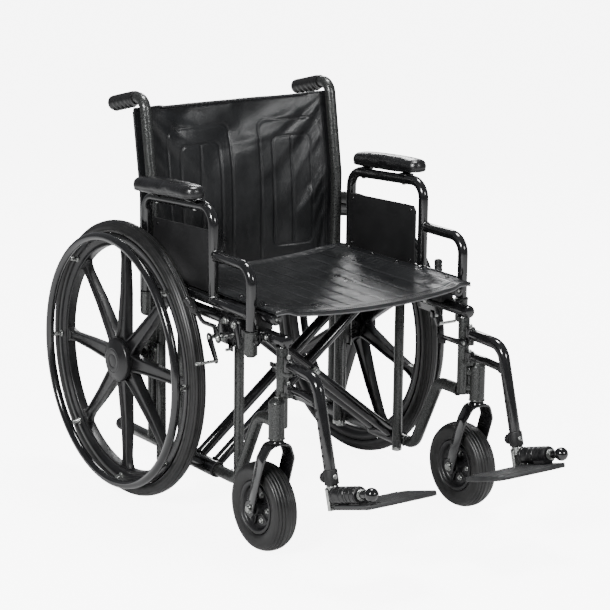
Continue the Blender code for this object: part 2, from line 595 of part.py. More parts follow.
def back_sling(body, look):
    """The back's closed solid: it lies against the rear of both canes and bows backwards between them."""
    bm = bmesh.new()
    count, edge = 12, 0.262
    rows = []
    for z, front in ((0.405, 0.0068), (CANE_LEAN_Z, 0.0058), (0.820, 0.0309)):
        near, far = [], []
        for i in range(count + 1):
            x = -edge + 2 * edge * i / count
            bow = 0.022 * max(0.0, 1 - (x / 0.230) ** 2)
            near.append(bm.verts.new((x, front + bow, z)))
            far.append(bm.verts.new((x, front + bow + 0.006, z)))
        rows.append((near, far))
    for (near_a, far_a), (near_b, far_b) in zip(rows, rows[1:]):
        for i in range(count):
            bm.faces.new((near_a[i + 1], near_a[i], near_b[i], near_b[i + 1]))
            bm.faces.new((far_a[i], far_a[i + 1], far_b[i + 1], far_b[i]))
        for i in (0, count):
            bm.faces.new((near_a[i], far_a[i], far_b[i], near_b[i]))
    for near, far in (rows[0], rows[-1]):
        for i in range(count):
            bm.faces.new((near[i], near[i + 1], far[i + 1], far[i]))
    bmesh.ops.recalc_face_normals(bm, faces=bm.faces)
    piece("back_sling", [bm], 1, body, look["vinyl"])


def main():
    clear_scene()
    look = {
        "hammertone": material("hammertone", (0.060, 0.062, 0.060), 0.42, 0.6),
        "black_gloss": material("black_gloss", (0.012, 0.012, 0.014), 0.22, 0.2),
        "zinc": material("zinc", (0.55, 0.57, 0.56), 0.35, 0.9),
        "plastic": material("plastic", (0.022, 0.023, 0.023), 0.5),
        "rubber": material("rubber", (0.018, 0.018, 0.018), 0.7),
        "vinyl": material("vinyl", (0.016, 0.017, 0.018), 0.38),
    }
    root = empty("wheelchair", (0, 0, 0))
    root.location = (0, AXLE_SHIFT, 0)
    right = empty("frame_right", (0, 0, 0), root)
    brace_a = empty("brace_a", (-RAIL_X, 0, LOW_RAIL_Z), right)
    brace_b = empty("brace_b", (0, 0, (LOW_RAIL_Z + SEAT_RAIL_Z) / 2), brace_a)
    left = empty("frame_left", (RAIL_X, 0, LOW_RAIL_Z), brace_b)
    frames = {"right": right, "left": left}

    cross_brace("a", -1, brace_a, look, BRACE_A_LANES, 1)
    cross_brace("b", 1, brace_b, look, BRACE_B_LANES, -1)
    seat_rail("left", 1, brace_a, look)
    seat_rail("right", -1, brace_b, look)
    seat_sling(brace_a, look)
    back_sling(right, look)

    for label, side in SIDES.items():
        frame = frames[label]

        def at(name, x, y, z, parent):
            return empty(f"{name}_{label}", on_side(side, x, y, z), parent)

        side_frame(label, side, frame, look)
        rear_wheel(label, side, at("rear_wheel_axle", WHEEL_X, 0, AXLE_Z, frame), look)
        swivel = at("caster_swivel", CASTER_X, SWIVEL_Y, 0.249, frame)
        caster(label, side, swivel, at("caster_axle", CASTER_X, CASTER_Y, CASTER_R, swivel), look)
        hanger = at("hanger_pins", RAIL_X, HANGER_PIN_Y, 0.400, frame)
        extension = at("footrest_slide", HANGER_X, FOOT_Y, FOOT_Z, hanger)
        pivot = at("sleeve_pivot", PIVOT_X, FOOT_Y, FOOT_Z, extension)
        footrest(label, side, {
            "hanger": hanger,
            "latch": at("latch_pivot", 0.218, HANGER_PIN_Y, 0.384, hanger),
            "extension": extension,
            "sleeve": pivot,
            "plate": at("plate_pivot", PIVOT_X, FOOT_Y, FOOT_Z, pivot),
        }, look)
        armrest(label, side, at("armrest_slide", ARM_X, ARM_FRONT_Y, 0.425, frame), look)
        wheel_lock(label, side, at("lock_lever_pivot", 0.285, LOCK_Y, LOCK_Z, frame),
                   at("lock_shoe_pivot", 0.2895, SHOE_Y, SHOE_Z, frame), look)


main()
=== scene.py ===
import math

import bmesh
import bpy
import numpy as np
from mathutils import Matrix, Vector, noise
from mathutils.bvhtree import BVHTree


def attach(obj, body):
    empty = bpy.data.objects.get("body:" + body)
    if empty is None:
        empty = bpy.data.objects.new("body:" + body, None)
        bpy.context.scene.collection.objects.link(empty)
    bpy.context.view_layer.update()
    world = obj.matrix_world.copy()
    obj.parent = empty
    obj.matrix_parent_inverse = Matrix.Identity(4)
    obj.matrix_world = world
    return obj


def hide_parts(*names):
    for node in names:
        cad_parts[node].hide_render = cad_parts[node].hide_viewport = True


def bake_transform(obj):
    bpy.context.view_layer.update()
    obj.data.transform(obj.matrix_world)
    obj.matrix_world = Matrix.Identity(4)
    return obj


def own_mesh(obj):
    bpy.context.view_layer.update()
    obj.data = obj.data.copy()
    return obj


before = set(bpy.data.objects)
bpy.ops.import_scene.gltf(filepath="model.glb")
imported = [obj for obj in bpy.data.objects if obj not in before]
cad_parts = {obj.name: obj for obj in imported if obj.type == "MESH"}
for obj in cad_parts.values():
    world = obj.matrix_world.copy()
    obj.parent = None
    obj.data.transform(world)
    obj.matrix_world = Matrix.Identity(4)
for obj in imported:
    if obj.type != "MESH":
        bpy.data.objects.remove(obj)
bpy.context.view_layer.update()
print("frame loaded")

axleY = 0.2640  # the rear axle's place along Y
axleZ = 0.305  # and its height
sideSigns = {"right": -1, "left": 1}


# small helpers for the shader trees
def addNode(tree, kind, **settings):
    node = tree.nodes.new(kind)
    for key, value in settings.items():
        setattr(node, key, value)
    return node


def newGroup(name, inputs, outputs):
    tree = bpy.data.node_groups.new(name, "ShaderNodeTree")
    for socket, kind, value in inputs:
        made = tree.interface.new_socket(name=socket, in_out="INPUT", socket_type=kind)
        if value is not None:
            made.default_value = value
    for socket, kind in outputs:
        tree.interface.new_socket(name=socket, in_out="OUTPUT", socket_type=kind)
    return tree, addNode(tree, "NodeGroupInput"), addNode(tree, "NodeGroupOutput")


def makeMottle():
    # two colours and two roughness values that drift into each other over the surface
    tree, given, out = newGroup("mottle", [
        ("Vector", "NodeSocketVector", None), ("Scale", "NodeSocketFloat", 20.0),
        ("Color A", "NodeSocketColor", (0, 0, 0, 1)), ("Color B", "NodeSocketColor", (1, 1, 1, 1)),
        ("Rough A", "NodeSocketFloat", 0.3), ("Rough B", "NodeSocketFloat", 0.5),
    ], [("Color", "NodeSocketColor"), ("Roughness", "NodeSocketFloat"), ("Mask", "NodeSocketFloat")])
    cloud = addNode(tree, "ShaderNodeTexNoise")
    cloud.inputs["Detail"].default_value = 5
    cloud.inputs["Roughness"].default_value = 0.62
    spread = addNode(tree, "ShaderNodeMapRange")
    spread.inputs["From Min"].default_value = 0.33
    spread.inputs["From Max"].default_value = 0.67
    colour = addNode(tree, "ShaderNodeMix", data_type="RGBA")
    rough = addNode(tree, "ShaderNodeMapRange")
    link = tree.links.new
    link(given.outputs["Vector"], cloud.inputs["Vector"])
    link(given.outputs["Scale"], cloud.inputs["Scale"])
    link(cloud.outputs["Fac"], spread.inputs["Value"])
    link(spread.outputs["Result"], colour.inputs["Factor"])
    link(given.outputs["Color A"], colour.inputs["A"])
    link(given.outputs["Color B"], colour.inputs["B"])
    link(spread.outputs["Result"], rough.inputs["Value"])
    link(given.outputs["Rough A"], rough.inputs["To Min"])
    link(given.outputs["Rough B"], rough.inputs["To Max"])
    link(colour.outputs["Result"], out.inputs["Color"])
    link(rough.outputs["Result"], out.inputs["Roughness"])
    link(spread.outputs["Result"], out.inputs["Mask"])
    return tree


def makeGrain():
    # height of a pebbled skin: rounded cells with a finer noise over them
    tree, given, out = newGroup("grain", [
        ("Vector", "NodeSocketVector", None), ("Cells", "NodeSocketFloat", 400.0),
        ("Fine", "NodeSocketFloat", 900.0), ("Fine Share", "NodeSocketFloat", 0.4),
    ], [("Height", "NodeSocketFloat")])
    cells = addNode(tree, "ShaderNodeTexVoronoi", feature="SMOOTH_F1")
    cells.inputs["Smoothness"].default_value = 0.6
    fine = addNode(tree, "ShaderNodeTexNoise")
    fine.inputs["Detail"].default_value = 3
    mixed = addNode(tree, "ShaderNodeMix")
    link = tree.links.new
    for texture, scale in ((cells, "Cells"), (fine, "Fine")):
        link(given.outputs["Vector"], texture.inputs["Vector"])
        link(given.outputs[scale], texture.inputs["Scale"])
    link(given.outputs["Fine Share"], mixed.inputs["Factor"])
    link(cells.outputs["Distance"], mixed.inputs["A"])
    link(fine.outputs["Fac"], mixed.inputs["B"])
    link(mixed.outputs["Result"], out.inputs["Height"])
    return tree


def makeDust():
    # a pale film that gathers in patches
    tree, given, out = newGroup("dust", [
        ("Vector", "NodeSocketVector", None), ("Color", "NodeSocketColor", (0, 0, 0, 1)),
        ("Dust", "NodeSocketColor", (0.30, 0.29, 0.27, 1)), ("Amount", "NodeSocketFloat", 0.05),
    ], [("Color", "NodeSocketColor")])
    cloud = addNode(tree, "ShaderNodeTexNoise")
    cloud.inputs["Scale"].default_value = 37
    cloud.inputs["Detail"].default_value = 6
    spread = addNode(tree, "ShaderNodeMapRange")
    spread.inputs["From Min"].default_value = 0.45
    spread.inputs["From Max"].default_value = 0.80
    amount = addNode(tree, "ShaderNodeMath", operation="MULTIPLY")
    mixed = addNode(tree, "ShaderNodeMix", data_type="RGBA")
    link = tree.links.new
    link(given.outputs["Vector"], cloud.inputs["Vector"])
    link(cloud.outputs["Fac"], spread.inputs["Value"])
    link(spread.outputs["Result"], amount.inputs[0])
    link(given.outputs["Amount"], amount.inputs[1])
    link(amount.outputs["Value"], mixed.inputs["Factor"])
    link(given.outputs["Color"], mixed.inputs["A"])
    link(given.outputs["Dust"], mixed.inputs["B"])
    link(mixed.outputs["Result"], out.inputs["Color"])
    return tree


mottle, grain, dust = makeMottle(), makeGrain(), makeDust()

finishSettings = {
    "hammertone": dict(a=(0.010, 0.0105, 0.0105), b=(0.075, 0.078, 0.075), rough=(0.24, 0.36), metallic=0.6,
                       scale=420, cells=330, fine=1300, share=0.25, depth=0.0008, bump=0.65, dust=0.008,
                       coat=0.4),
    "blackGloss": dict(a=(0.0035, 0.0035, 0.0040), b=(0.0070, 0.0070, 0.0075), rough=(0.11, 0.18),
                       metallic=0.0, scale=30, cells=500, fine=900, share=0.5, depth=0.0002, bump=0.08,
                       dust=0.003, coat=0.6),
    "zinc": dict(a=(0.36, 0.37, 0.36), b=(0.56, 0.57, 0.55), rough=(0.22, 0.36), metallic=0.95, scale=160,
                 cells=700, fine=2200, share=0.7, depth=0.0002, bump=0.25, dust=0.02, coat=0.0),
    "magPlastic": dict(a=(0.0050, 0.0050, 0.0055), b=(0.0095, 0.0095, 0.0100), rough=(0.27, 0.38),
                       metallic=0.0, scale=24, cells=1500, fine=2600, share=0.5, depth=0.0002, bump=0.18,
                       dust=0.008, coat=0.0),
    "flatPlastic": dict(a=(0.0030, 0.0030, 0.0034), b=(0.0055, 0.0055, 0.0060), rough=(0.50, 0.62),
                        metallic=0.0, scale=18, cells=900, fine=2000, share=0.5, depth=0.0002, bump=0.18,
                        dust=0.004, coat=0.0),
    "plateResin": dict(a=(0.014, 0.0145, 0.015), b=(0.027, 0.0275, 0.028), rough=(0.36, 0.50), metallic=0.0,
                       scale=60, cells=800, fine=2400, share=0.5, depth=0.0003, bump=0.25, dust=0.02,
                       coat=0.0),
    "tyreRubber": dict(a=(0.0050, 0.0050, 0.0050), b=(0.0105, 0.0105, 0.0103), rough=(0.36, 0.50),
                       metallic=0.0, scale=46, cells=1200, fine=2600, share=0.6, depth=0.0003, bump=0.25,
                       dust=0.012, coat=0.0),
    "gripVinyl": dict(a=(0.0045, 0.0045, 0.0047), b=(0.0090, 0.0090, 0.0092), rough=(0.24, 0.34),
                      metallic=0.0, scale=70, cells=1100, fine=2300, share=0.5, depth=0.0003, bump=0.25,
                      dust=0.006, coat=0.0),
    "ballGloss": dict(a=(0.0030, 0.0030, 0.0035), b=(0.0055, 0.0055, 0.0060), rough=(0.08, 0.13),
                      metallic=0.0, scale=40, cells=600, fine=1500, share=0.5, depth=0.0001, bump=0.05,
                      dust=0.003, coat=0.6),
    "padUrethane": dict(a=(0.0045, 0.0045, 0.0050), b=(0.0085, 0.0085, 0.0092), rough=(0.24, 0.34),
                        metallic=0.0, scale=34, cells=850, fine=1900, share=0.45, depth=0.0005, bump=0.35,
                        dust=0.006, coat=0.15),
    "thread": dict(a=(0.012, 0.012, 0.013), b=(0.022, 0.022, 0.023), rough=(0.55, 0.70), metallic=0.0,
                   scale=300, cells=2200, fine=4000, share=0.5, depth=0.0002, bump=0.3, dust=0.02, coat=0.0),
    "piping": dict(a=(0.085, 0.086, 0.088), b=(0.14, 0.141, 0.145), rough=(0.34, 0.46), metallic=0.0,
                   scale=60, cells=1400, fine=2600, share=0.5, depth=0.0002, bump=0.25, dust=0.02, coat=0.0),
    # near-black finish for thin discs laid where holes are: painted shade standing for the shadow inside each
    # hole
    "paintedHoleShade": dict(a=(0.002, 0.002, 0.002), b=(0.004, 0.004, 0.004), rough=(0.8, 0.9), metallic=0.0,
                     scale=50, cells=900, fine=2000, share=0.5, depth=0.0001, bump=0.05, dust=0.0, coat=0.0),
}


def makeFinish(name, s):
    made = bpy.data.materials.new(name)
    made.use_nodes = True
    tree = made.node_tree
    shader = tree.nodes["Principled BSDF"]
    place = addNode(tree, "ShaderNodeTexCoord")
    blend = addNode(tree, "ShaderNodeGroup", node_tree=mottle)
    pebbles = addNode(tree, "ShaderNodeGroup", node_tree=grain)
    film = addNode(tree, "ShaderNodeGroup", node_tree=dust)
    bump = addNode(tree, "ShaderNodeBump")
    blend.inputs["Scale"].default_value = s["scale"]
    blend.inputs["Color A"].default_value = (*s["a"], 1)
    blend.inputs["Color B"].default_value = (*s["b"], 1)
    blend.inputs["Rough A"].default_value, blend.inputs["Rough B"].default_value = s["rough"]
    pebbles.inputs["Cells"].default_value = s["cells"]
    pebbles.inputs["Fine"].default_value = s["fine"]
    pebbles.inputs["Fine Share"].default_value = s["share"]
    film.inputs["Amount"].default_value = s["dust"]
    bump.inputs["Distance"].default_value = s["depth"]
    bump.inputs["Strength"].default_value = s["bump"]
    shader.inputs["Metallic"].default_value = s["metallic"]
    shader.inputs["Coat Weight"].default_value = s["coat"]
    shader.inputs["Coat Roughness"].default_value = 0.12
    link = tree.links.new
    for group in (blend, pebbles, film):
        link(place.outputs["Object"], group.inputs["Vector"])
    link(blend.outputs["Color"], film.inputs["Color"])
    link(film.outputs["Color"], shader.inputs["Base Color"])
    link(blend.outputs["Roughness"], shader.inputs["Roughness"])
    link(pebbles.outputs["Height"], bump.inputs["Height"])
    link(bump.outputs["Normal"], shader.inputs["Normal"])
    return made


finishes = {name: makeFinish(name, s) for name, s in finishSettings.items()}


upholsterySettings = dict(a=(0.0048, 0.0052, 0.0058), b=(0.0100, 0.0107, 0.0116), rough=(0.27, 0.38),
                          mottleScale=9, grainCells=620, grainFine=1700, grainDepth=0.0006,
                          grainStrength=0.40, creaseScale=26, creaseDepth=0.0020, creaseStrength=0.35)


def makeUpholstery(s):
    # soft vinyl: leather grain over shallow creases
    made = bpy.data.materials.new("upholstery")
    made.use_nodes = True
    tree = made.node_tree
    shader = tree.nodes["Principled BSDF"]
    place = addNode(tree, "ShaderNodeTexCoord")
    blend = addNode(tree, "ShaderNodeGroup", node_tree=mottle)
    pebbles = addNode(tree, "ShaderNodeGroup", node_tree=grain)
    film = addNode(tree, "ShaderNodeGroup", node_tree=dust)
    blend.inputs["Scale"].default_value = s["mottleScale"]
    blend.inputs["Color A"].default_value = (*s["a"], 1)
    blend.inputs["Color B"].default_value = (*s["b"], 1)
    blend.inputs["Rough A"].default_value, blend.inputs["Rough B"].default_value = s["rough"]
    pebbles.inputs["Cells"].default_value = s["grainCells"]
    pebbles.inputs["Fine"].default_value = s["grainFine"]
    pebbles.inputs["Fine Share"].default_value = 0.35
    film.inputs["Amount"].default_value = 0.006
    crease = addNode(tree, "ShaderNodeTexNoise")
    crease.inputs["Scale"].default_value = s["creaseScale"]
    crease.inputs["Detail"].default_value = 2
    crease.inputs["Distortion"].default_value = 0.9
    soft = addNode(tree, "ShaderNodeBump")
    soft.inputs["Distance"].default_value = s["creaseDepth"]
    soft.inputs["Strength"].default_value = s["creaseStrength"]
    bump = addNode(tree, "ShaderNodeBump")
    bump.inputs["Distance"].default_value = s["grainDepth"]
    bump.inputs["Strength"].default_value = s["grainStrength"]
    link = tree.links.new
    for target in (blend, pebbles, film, crease):
        link(place.outputs["Object"], target.inputs["Vector"])
    link(blend.outputs["Color"], film.inputs["Color"])
    link(film.outputs["Color"], shader.inputs["Base Color"])
    link(blend.outputs["Roughness"], shader.inputs["Roughness"])
    link(crease.outputs["Fac"], soft.inputs["Height"])
    link(soft.outputs["Normal"], bump.inputs["Normal"])
    link(pebbles.outputs["Height"], bump.inputs["Height"])
    link(bump.outputs["Normal"], shader.inputs["Normal"])
    return made


finishes["upholstery"] = makeUpholstery(upholsterySettings)
print("finishes made:", len(finishes))


# shapes are made on the left-hand side and measured from the rear axle; makePiece puts them in place
def roundCorners(points, bend, step=9.0):
    points = [Vector(p) for p in points]
    path = [points[0]]
    for before, corner, after in zip(points, points[1:], points[2:]):
        back, on = (before - corner).normalized(), (after - corner).normalized()
        turn = math.pi - back.angle(on)
        reach = bend * math.tan(turn / 2)
        if not bend or turn < 0.02:
            path.append(corner)
            continue
        middle = corner + (back + on).normalized() * math.hypot(bend, reach)
        start = corner + back * reach - middle
        axis = start.cross(corner + on * reach - middle).normalized()
        count = max(3, round(math.degrees(turn) / step))
        for i in range(count + 1):
            path.append(middle + Matrix.Rotation(turn * i / count, 3, axis) @ start)
    path.append(points[-1])
    return path


def pathFrames(path, first=None):
    steps = [(b - a).normalized() for a, b in zip(path, path[1:])]
    tangents = [steps[0]] + [(a + b).normalized() for a, b in zip(steps, steps[1:])] + [steps[-1]]
    across = (Vector(first) if first else tangents[0].orthogonal())
    across = (across - tangents[0] * across.dot(tangents[0])).normalized()
    frames = []
    for i, (here, along) in enumerate(zip(path, tangents)):
        if i:
            across = tangents[i - 1].rotation_difference(along) @ across
        turned = Matrix((across, along.cross(across), along)).transposed().to_4x4()
        frames.append(Matrix.Translation(here) @ turned)
    return frames


def loftRing(shape, ring, frames):
    # extrudes the ring of edges from frame to frame, and closes both ends
    ends = [ring]
    for before, here in zip(frames, frames[1:]):
        made = bmesh.ops.extrude_edge_only(shape, edges=ring)["geom"]
        verts = [g for g in made if isinstance(g, bmesh.types.BMVert)]
        known = set(verts)
        ring = [g for g in made if isinstance(g, bmesh.types.BMEdge) and all(v in known for v in g.verts)]
        bmesh.ops.transform(shape, matrix=here @ before.inverted(), verts=verts)
    ends.append(ring)
    rims = [e for end in ends for e in end]
    for end in ends:
        bmesh.ops.edgeloop_fill(shape, edges=end)
    bmesh.ops.recalc_face_normals(shape, faces=shape.faces)
    return rims


def tubeShape(points, radius, sides=24, bend=0.03, soften=0.0008):
    frames = pathFrames(roundCorners(points, bend))
    shape = bmesh.new()
    bmesh.ops.create_circle(shape, segments=sides, radius=radius, matrix=frames[0])
    rims = loftRing(shape, list(shape.edges), frames)
    if soften:
        bmesh.ops.bevel(shape, geom=rims, offset=soften, segments=2, profile=0.5, affect="EDGES", material=-1)
    return shape


def barShape(points, wide, thick, across, bend=0.02, soften=0.001):
    # a flat bar: wide along "across", thick the other way
    frames = pathFrames(roundCorners(points, bend), across)
    shape = bmesh.new()
    size = Matrix.Diagonal((wide / 2, thick / 2, 1, 1))
    quarter = Matrix.Rotation(math.pi / 4, 4, "Z")
    bmesh.ops.create_circle(shape, segments=4, radius=math.sqrt(2), matrix=frames[0] @ size @ quarter)
    loftRing(shape, list(shape.edges), frames)
    sharp = [e for e in shape.edges if len(e.link_faces) == 2 and e.calc_face_angle(0) > 0.9]
    bmesh.ops.bevel(shape, geom=sharp, offset=soften, segments=2, profile=0.5, affect="EDGES", material=-1)
    return shape


def turnedShape(profile, centre, axis, segments=48):
    # (radius, distance along the axis) corners, turned about the axis
    shape = bmesh.new()
    centre, axis = Vector(centre), Vector(axis).normalized()
    out = Vector((0, 0, 1)) if abs(axis.x) > 0.9 else Vector((1, 0, 0))
    out = (out - axis * out.dot(axis)).normalized()
    verts = [shape.verts.new(centre + out * r + axis * t) for r, t in profile]
    loop = zip(verts, verts[1:] + verts[:1], profile, profile[1:] + profile[:1])
    edges = [shape.edges.new((a, b)) for a, b, (ra, _), (rb, _) in loop if ra or rb]
    bmesh.ops.spin(shape, geom=verts + edges, cent=centre, axis=axis, angle=2 * math.pi, steps=segments,
                   use_merge=True, use_duplicate=False)
    bmesh.ops.remove_doubles(shape, verts=shape.verts, dist=1e-6)
    bmesh.ops.recalc_face_normals(shape, faces=shape.faces)
    return shape


def softProfile(profile, radius, count=3):
    # rounds each corner of a closed profile
    made = []
    size = len(profile)
    for i, (r, t) in enumerate(profile):
        here, before, after = Vector((r, t)), Vector(profile[i - 1]), Vector(profile[(i + 1) % size])
        if r == 0:
            made.append((r, t))
            continue
        reach = min(radius, (before - here).length * 0.45, (after - here).length * 0.45)
        a, b = here + (before - here).normalized() * reach, here + (after - here).normalized() * reach
        for k in range(count + 1):
            f = k / count
            point = a * (1 - f) ** 2 + here * 2 * f * (1 - f) + b * f ** 2
            made.append((point.x, point.y))
    return made


def discShape(radius, height, soften, centre, axis, segments):
    # a solid disc or rod that starts at the centre; a soften of 0 leaves its corners sharp
    profile = [(0, 0), (radius, 0), (radius, height), (0, height)]
    return turnedShape(softProfile(profile, soften) if soften else profile, centre, axis, segments)


def ringShape(inner, outer, height, soften, centre, axis, segments):
    profile = [(inner, 0), (outer, 0), (outer, height), (inner, height)]
    return turnedShape(softProfile(profile, soften), centre, axis, segments)


def slabShape(outline, low, high, soften=0.0008, segments=2):
    # a plate: (y, z) corners, from x low to x high
    return drawnShape([(low, y, z) for y, z in outline], (high - low, 0, 0), soften, segments)


def drawnShape(corners, push, soften=0.0008, segments=2):
    shape = bmesh.new()
    face = shape.faces.new([shape.verts.new(c) for c in corners])
    made = bmesh.ops.extrude_face_region(shape, geom=[face])["geom"]
    bmesh.ops.translate(shape, vec=push, verts=[g for g in made if isinstance(g, bmesh.types.BMVert)])
    bmesh.ops.recalc_face_normals(shape, faces=shape.faces)
    if soften:
        along = Vector(push).normalized()
        rims = [e for e in shape.edges if abs((e.verts[0].co - e.verts[1].co).normalized().dot(along)) < 0.5]
        bmesh.ops.bevel(shape, geom=rims, offset=soften, segments=segments, profile=0.5, affect="EDGES",
                        material=-1)
    return shape


def boxShape(low, high, soften=0.001):
    low, high = Vector(low), Vector(high)
    shape = bmesh.new()
    size = Matrix.Diagonal((*(high - low), 1))
    bmesh.ops.create_cube(shape, size=1, matrix=Matrix.Translation((low + high) / 2) @ size)
    if soften:
        bmesh.ops.bevel(shape, geom=shape.edges[:], offset=soften, segments=2, profile=0.5, affect="EDGES",
                        material=-1)
    return shape


def ballShape(centre, radius):
    shape = bmesh.new()
    bmesh.ops.create_uvsphere(shape, u_segments=32, v_segments=20, radius=radius,
                              matrix=Matrix.Translation(centre))
    return shape


def buttonHead(centre, axis, radius, height=None):
    h = height or radius * 0.55
    profile = [(0, -0.001), (radius, -0.001), (radius, h * 0.25), (radius * 0.9, h * 0.62),
               (radius * 0.66, h * 0.92), (radius * 0.42, h), (radius * 0.38, h * 0.35), (0, h * 0.35)]
    return turnedShape(profile, centre, axis, 20)


def hexHead(centre, axis, radius, height):
    shape = bmesh.new()
    aim = Vector((0, 0, 1)).rotation_difference(Vector(axis)).to_matrix().to_4x4()
    middle = Vector(centre) + Vector(axis).normalized() * height / 2
    bmesh.ops.create_cone(shape, cap_ends=True, segments=6, radius1=radius, radius2=radius, depth=height,
                          matrix=Matrix.Translation(middle) @ aim)
    bmesh.ops.bevel(shape, geom=shape.edges[:], offset=radius * 0.10, segments=2, profile=0.5, affect="EDGES",
                    material=-1)
    return shape


def washer(centre, axis, inner, outer, thick):
    profile = [(inner, 0), (outer, 0), (outer, thick), (inner, thick)]
    return turnedShape(softProfile(profile, thick * 0.3, 2), centre, axis, 28)


def weldRing(centre, axis, radius, size=0.0021):
    # a rippled bead
    ring = [(radius + size * math.cos(a), size * math.sin(a)) for a in [i * math.pi / 4 for i in range(8)]]
    shape = turnedShape(ring, centre, axis, 64)
    axis = Vector(axis).normalized()
    for vert in shape.verts:
        away = vert.co - Vector(centre)
        away -= axis * away.dot(axis)
        one, other = axis.orthogonal().normalized(), axis.cross(axis.orthogonal()).normalized()
        turn = math.atan2(away.dot(one), away.dot(other))
        vert.co += away.normalized() * 0.00035 * math.sin(turn * 15)
    return shape


def makePiece(name, parts, body, side=1, instead=(), sharp=32):
    mesh = bpy.data.meshes.new(name)
    whole = bmesh.new()
    used = []
    for shape, finish in parts:
        if finish not in used:
            used.append(finish)
            mesh.materials.append(finishes[finish])
        for face in shape.faces:
            face.material_index = used.index(finish)
            face.smooth = True
        part = bpy.data.meshes.new("part")
        shape.to_mesh(part)
        shape.free()
        whole.from_mesh(part)
        bpy.data.meshes.remove(part)
    if side < 0:
        bmesh.ops.scale(whole, vec=(-1, 1, 1), verts=whole.verts)
        bmesh.ops.reverse_faces(whole, faces=whole.faces)
    bmesh.ops.translate(whole, vec=(0, axleY, 0), verts=whole.verts)
    whole.to_mesh(mesh)
    whole.free()
    mesh.set_sharp_from_angle(angle=math.radians(sharp))
    made = bpy.data.objects.new(name, mesh)
    bpy.context.scene.collection.objects.link(made)
    if body:
        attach(made, body)
    if instead:
        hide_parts(*instead)
    return made


# tubes, posts and canes of one side, in metres
railSettings = dict(x=0.234, radius=0.0127, lowZ=0.107, topZ=0.447, seatZ=0.486)
postSettings = dict(innerX=0.2102, midY=-0.302, rearY=-0.075, radius=0.011, axleY=-0.040, frontY=-0.498,
                    pinY=-0.5205)
caneSettings = dict(x=0.2435, radius=0.0125, bend=0.028, lean=(-0.008, 0.665), corner=(0.0265, 0.8745),
                    drop=14.0, long=0.124)
casterSettings = dict(x=0.2595, swivelY=-0.517, y=-0.474, radius=0.094)


def buildRails(label, side, body):
    r, p = railSettings, postSettings
    x, low, top = r["x"], r["lowZ"], r["topZ"]
    cap = [(0, 0), (0.0128, 0), (0.0146, 0.0015), (0.0146, 0.008), (0.0139, 0.009), (0.0146, 0.010),
           (0.0146, 0.017), (0.0139, 0.018), (0.0146, 0.019), (0.0146, 0.029), (0.0132, 0.034),
           (0.0090, 0.0365), (0, 0.0370)]
    stub = [(0, 0), (0.0090, 0), (0.0112, 0.0015), (0.0112, 0.0090), (0, 0.0090)]
    parts = [
        (tubeShape([(x, 0.130, low), (x, -0.335, low), (x, -0.4165, 0.270), (x, -0.4855, 0.270)], r["radius"],
                   28, 0.035), "hammertone"),
        (turnedShape(cap, (x, 0.120, low), (0, 1, 0), 32), "flatPlastic"),
        (tubeShape([(caneSettings["x"], p["axleY"], 0.080), (caneSettings["x"], p["axleY"], low)],
                   p["radius"], 24), "hammertone"),
        (turnedShape(stub, (caneSettings["x"], p["axleY"], 0.0725), (0, 0, 1), 24), "zinc"),
        (weldRing((x, -0.4855, 0.270), (0, 1, 0), r["radius"]), "hammertone"),
        (weldRing((x + 0.004, -0.006, low + 0.0115), (0, 0, 1), 0.0125), "hammertone"),
        (weldRing((x + 0.004, p["axleY"], low + 0.0115), (0, 0, 1), 0.0112), "hammertone"),
    ]
    for y in (p["midY"], p["rearY"]):
        for s in (-1, 1):
            bead = [(x - 0.0122, y + s * 0.0085, low - 0.010), (x - 0.0122, y + s * 0.0085, low + 0.010)]
            parts.append((tubeShape(bead, 0.0024, 12), "hammertone"))
    makePiece(f"{label}LowerRail", parts, body, side, [f"lower_rail_{label}"])

    cap = [(0, 0), (0.0128, 0), (0.0142, 0.001), (0.0142, 0.0085), (0.0120, 0.0125), (0.0070, 0.0142),
           (0, 0.0146)]
    parts = [(tubeShape([(x, -0.0208, top), (x, -0.507, top)], r["radius"], 28), "blackGloss"),
             (turnedShape(cap, (x, -0.5045, top), (0, -1, 0), 32), "ballGloss"),
             (weldRing((x, p["frontY"], top - 0.0125), (0, 0, 1), 0.0122), "blackGloss")]
    saddle = [(-0.0165, 0), (0.0165, 0), (0.0165, 0.030), (0.0135, 0.035)]
    saddle += [(0.0131 * math.cos(a), 0.0315 - 0.0131 * math.sin(a))
               for a in [math.pi * i / 10 for i in range(11)]]
    saddle += [(-0.0135, 0.035), (-0.0165, 0.030)]
    for y in (-0.421, -0.107):
        corners = [(x + dx, y + 0.017, r["seatZ"] - 0.0315 + dz) for dx, dz in saddle]
        parts.append((drawnShape(corners, (0, -0.034, 0), 0.0007), "flatPlastic"))
        for dy in (-0.010, 0.010):
            parts.append((buttonHead((x + 0.0165, y + dy, top + 0.0145), (1, 0, 0), 0.0036), "zinc"))
    for y, deep in ((-0.440, 0.012), (-0.031, 0.0085)):
        parts.append((boxShape((x + 0.0085, y - deep, top - 0.0105), (0.2590, y + deep, top + 0.0105),
                               0.0015), "blackGloss"))
        for dy in (-0.0195, 0.0195):
            ear = boxShape((x + 0.0100, y + dy - 0.0085, top - 0.0085),
                           (x + 0.0150, y + dy + 0.0085, top + 0.0085), 0.002)
            parts.append((ear, "blackGloss"))
            parts.append((washer((x + 0.0148, y + dy, top), (1, 0, 0), 0.0022, 0.0062, 0.0010), "zinc"))
            parts.append((buttonHead((x + 0.0156, y + dy, top), (1, 0, 0), 0.0046), "zinc"))
    clip = [(0.0128, 0), (0.0146, 0), (0.0146, 0.010), (0.0128, 0.010)]
    parts.append((turnedShape(clip, (x, -0.372, top), (0, -1, 0), 32), "zinc"))
    makePiece(f"{label}TopRail", parts, body, side, [f"top_rail_{label}"])


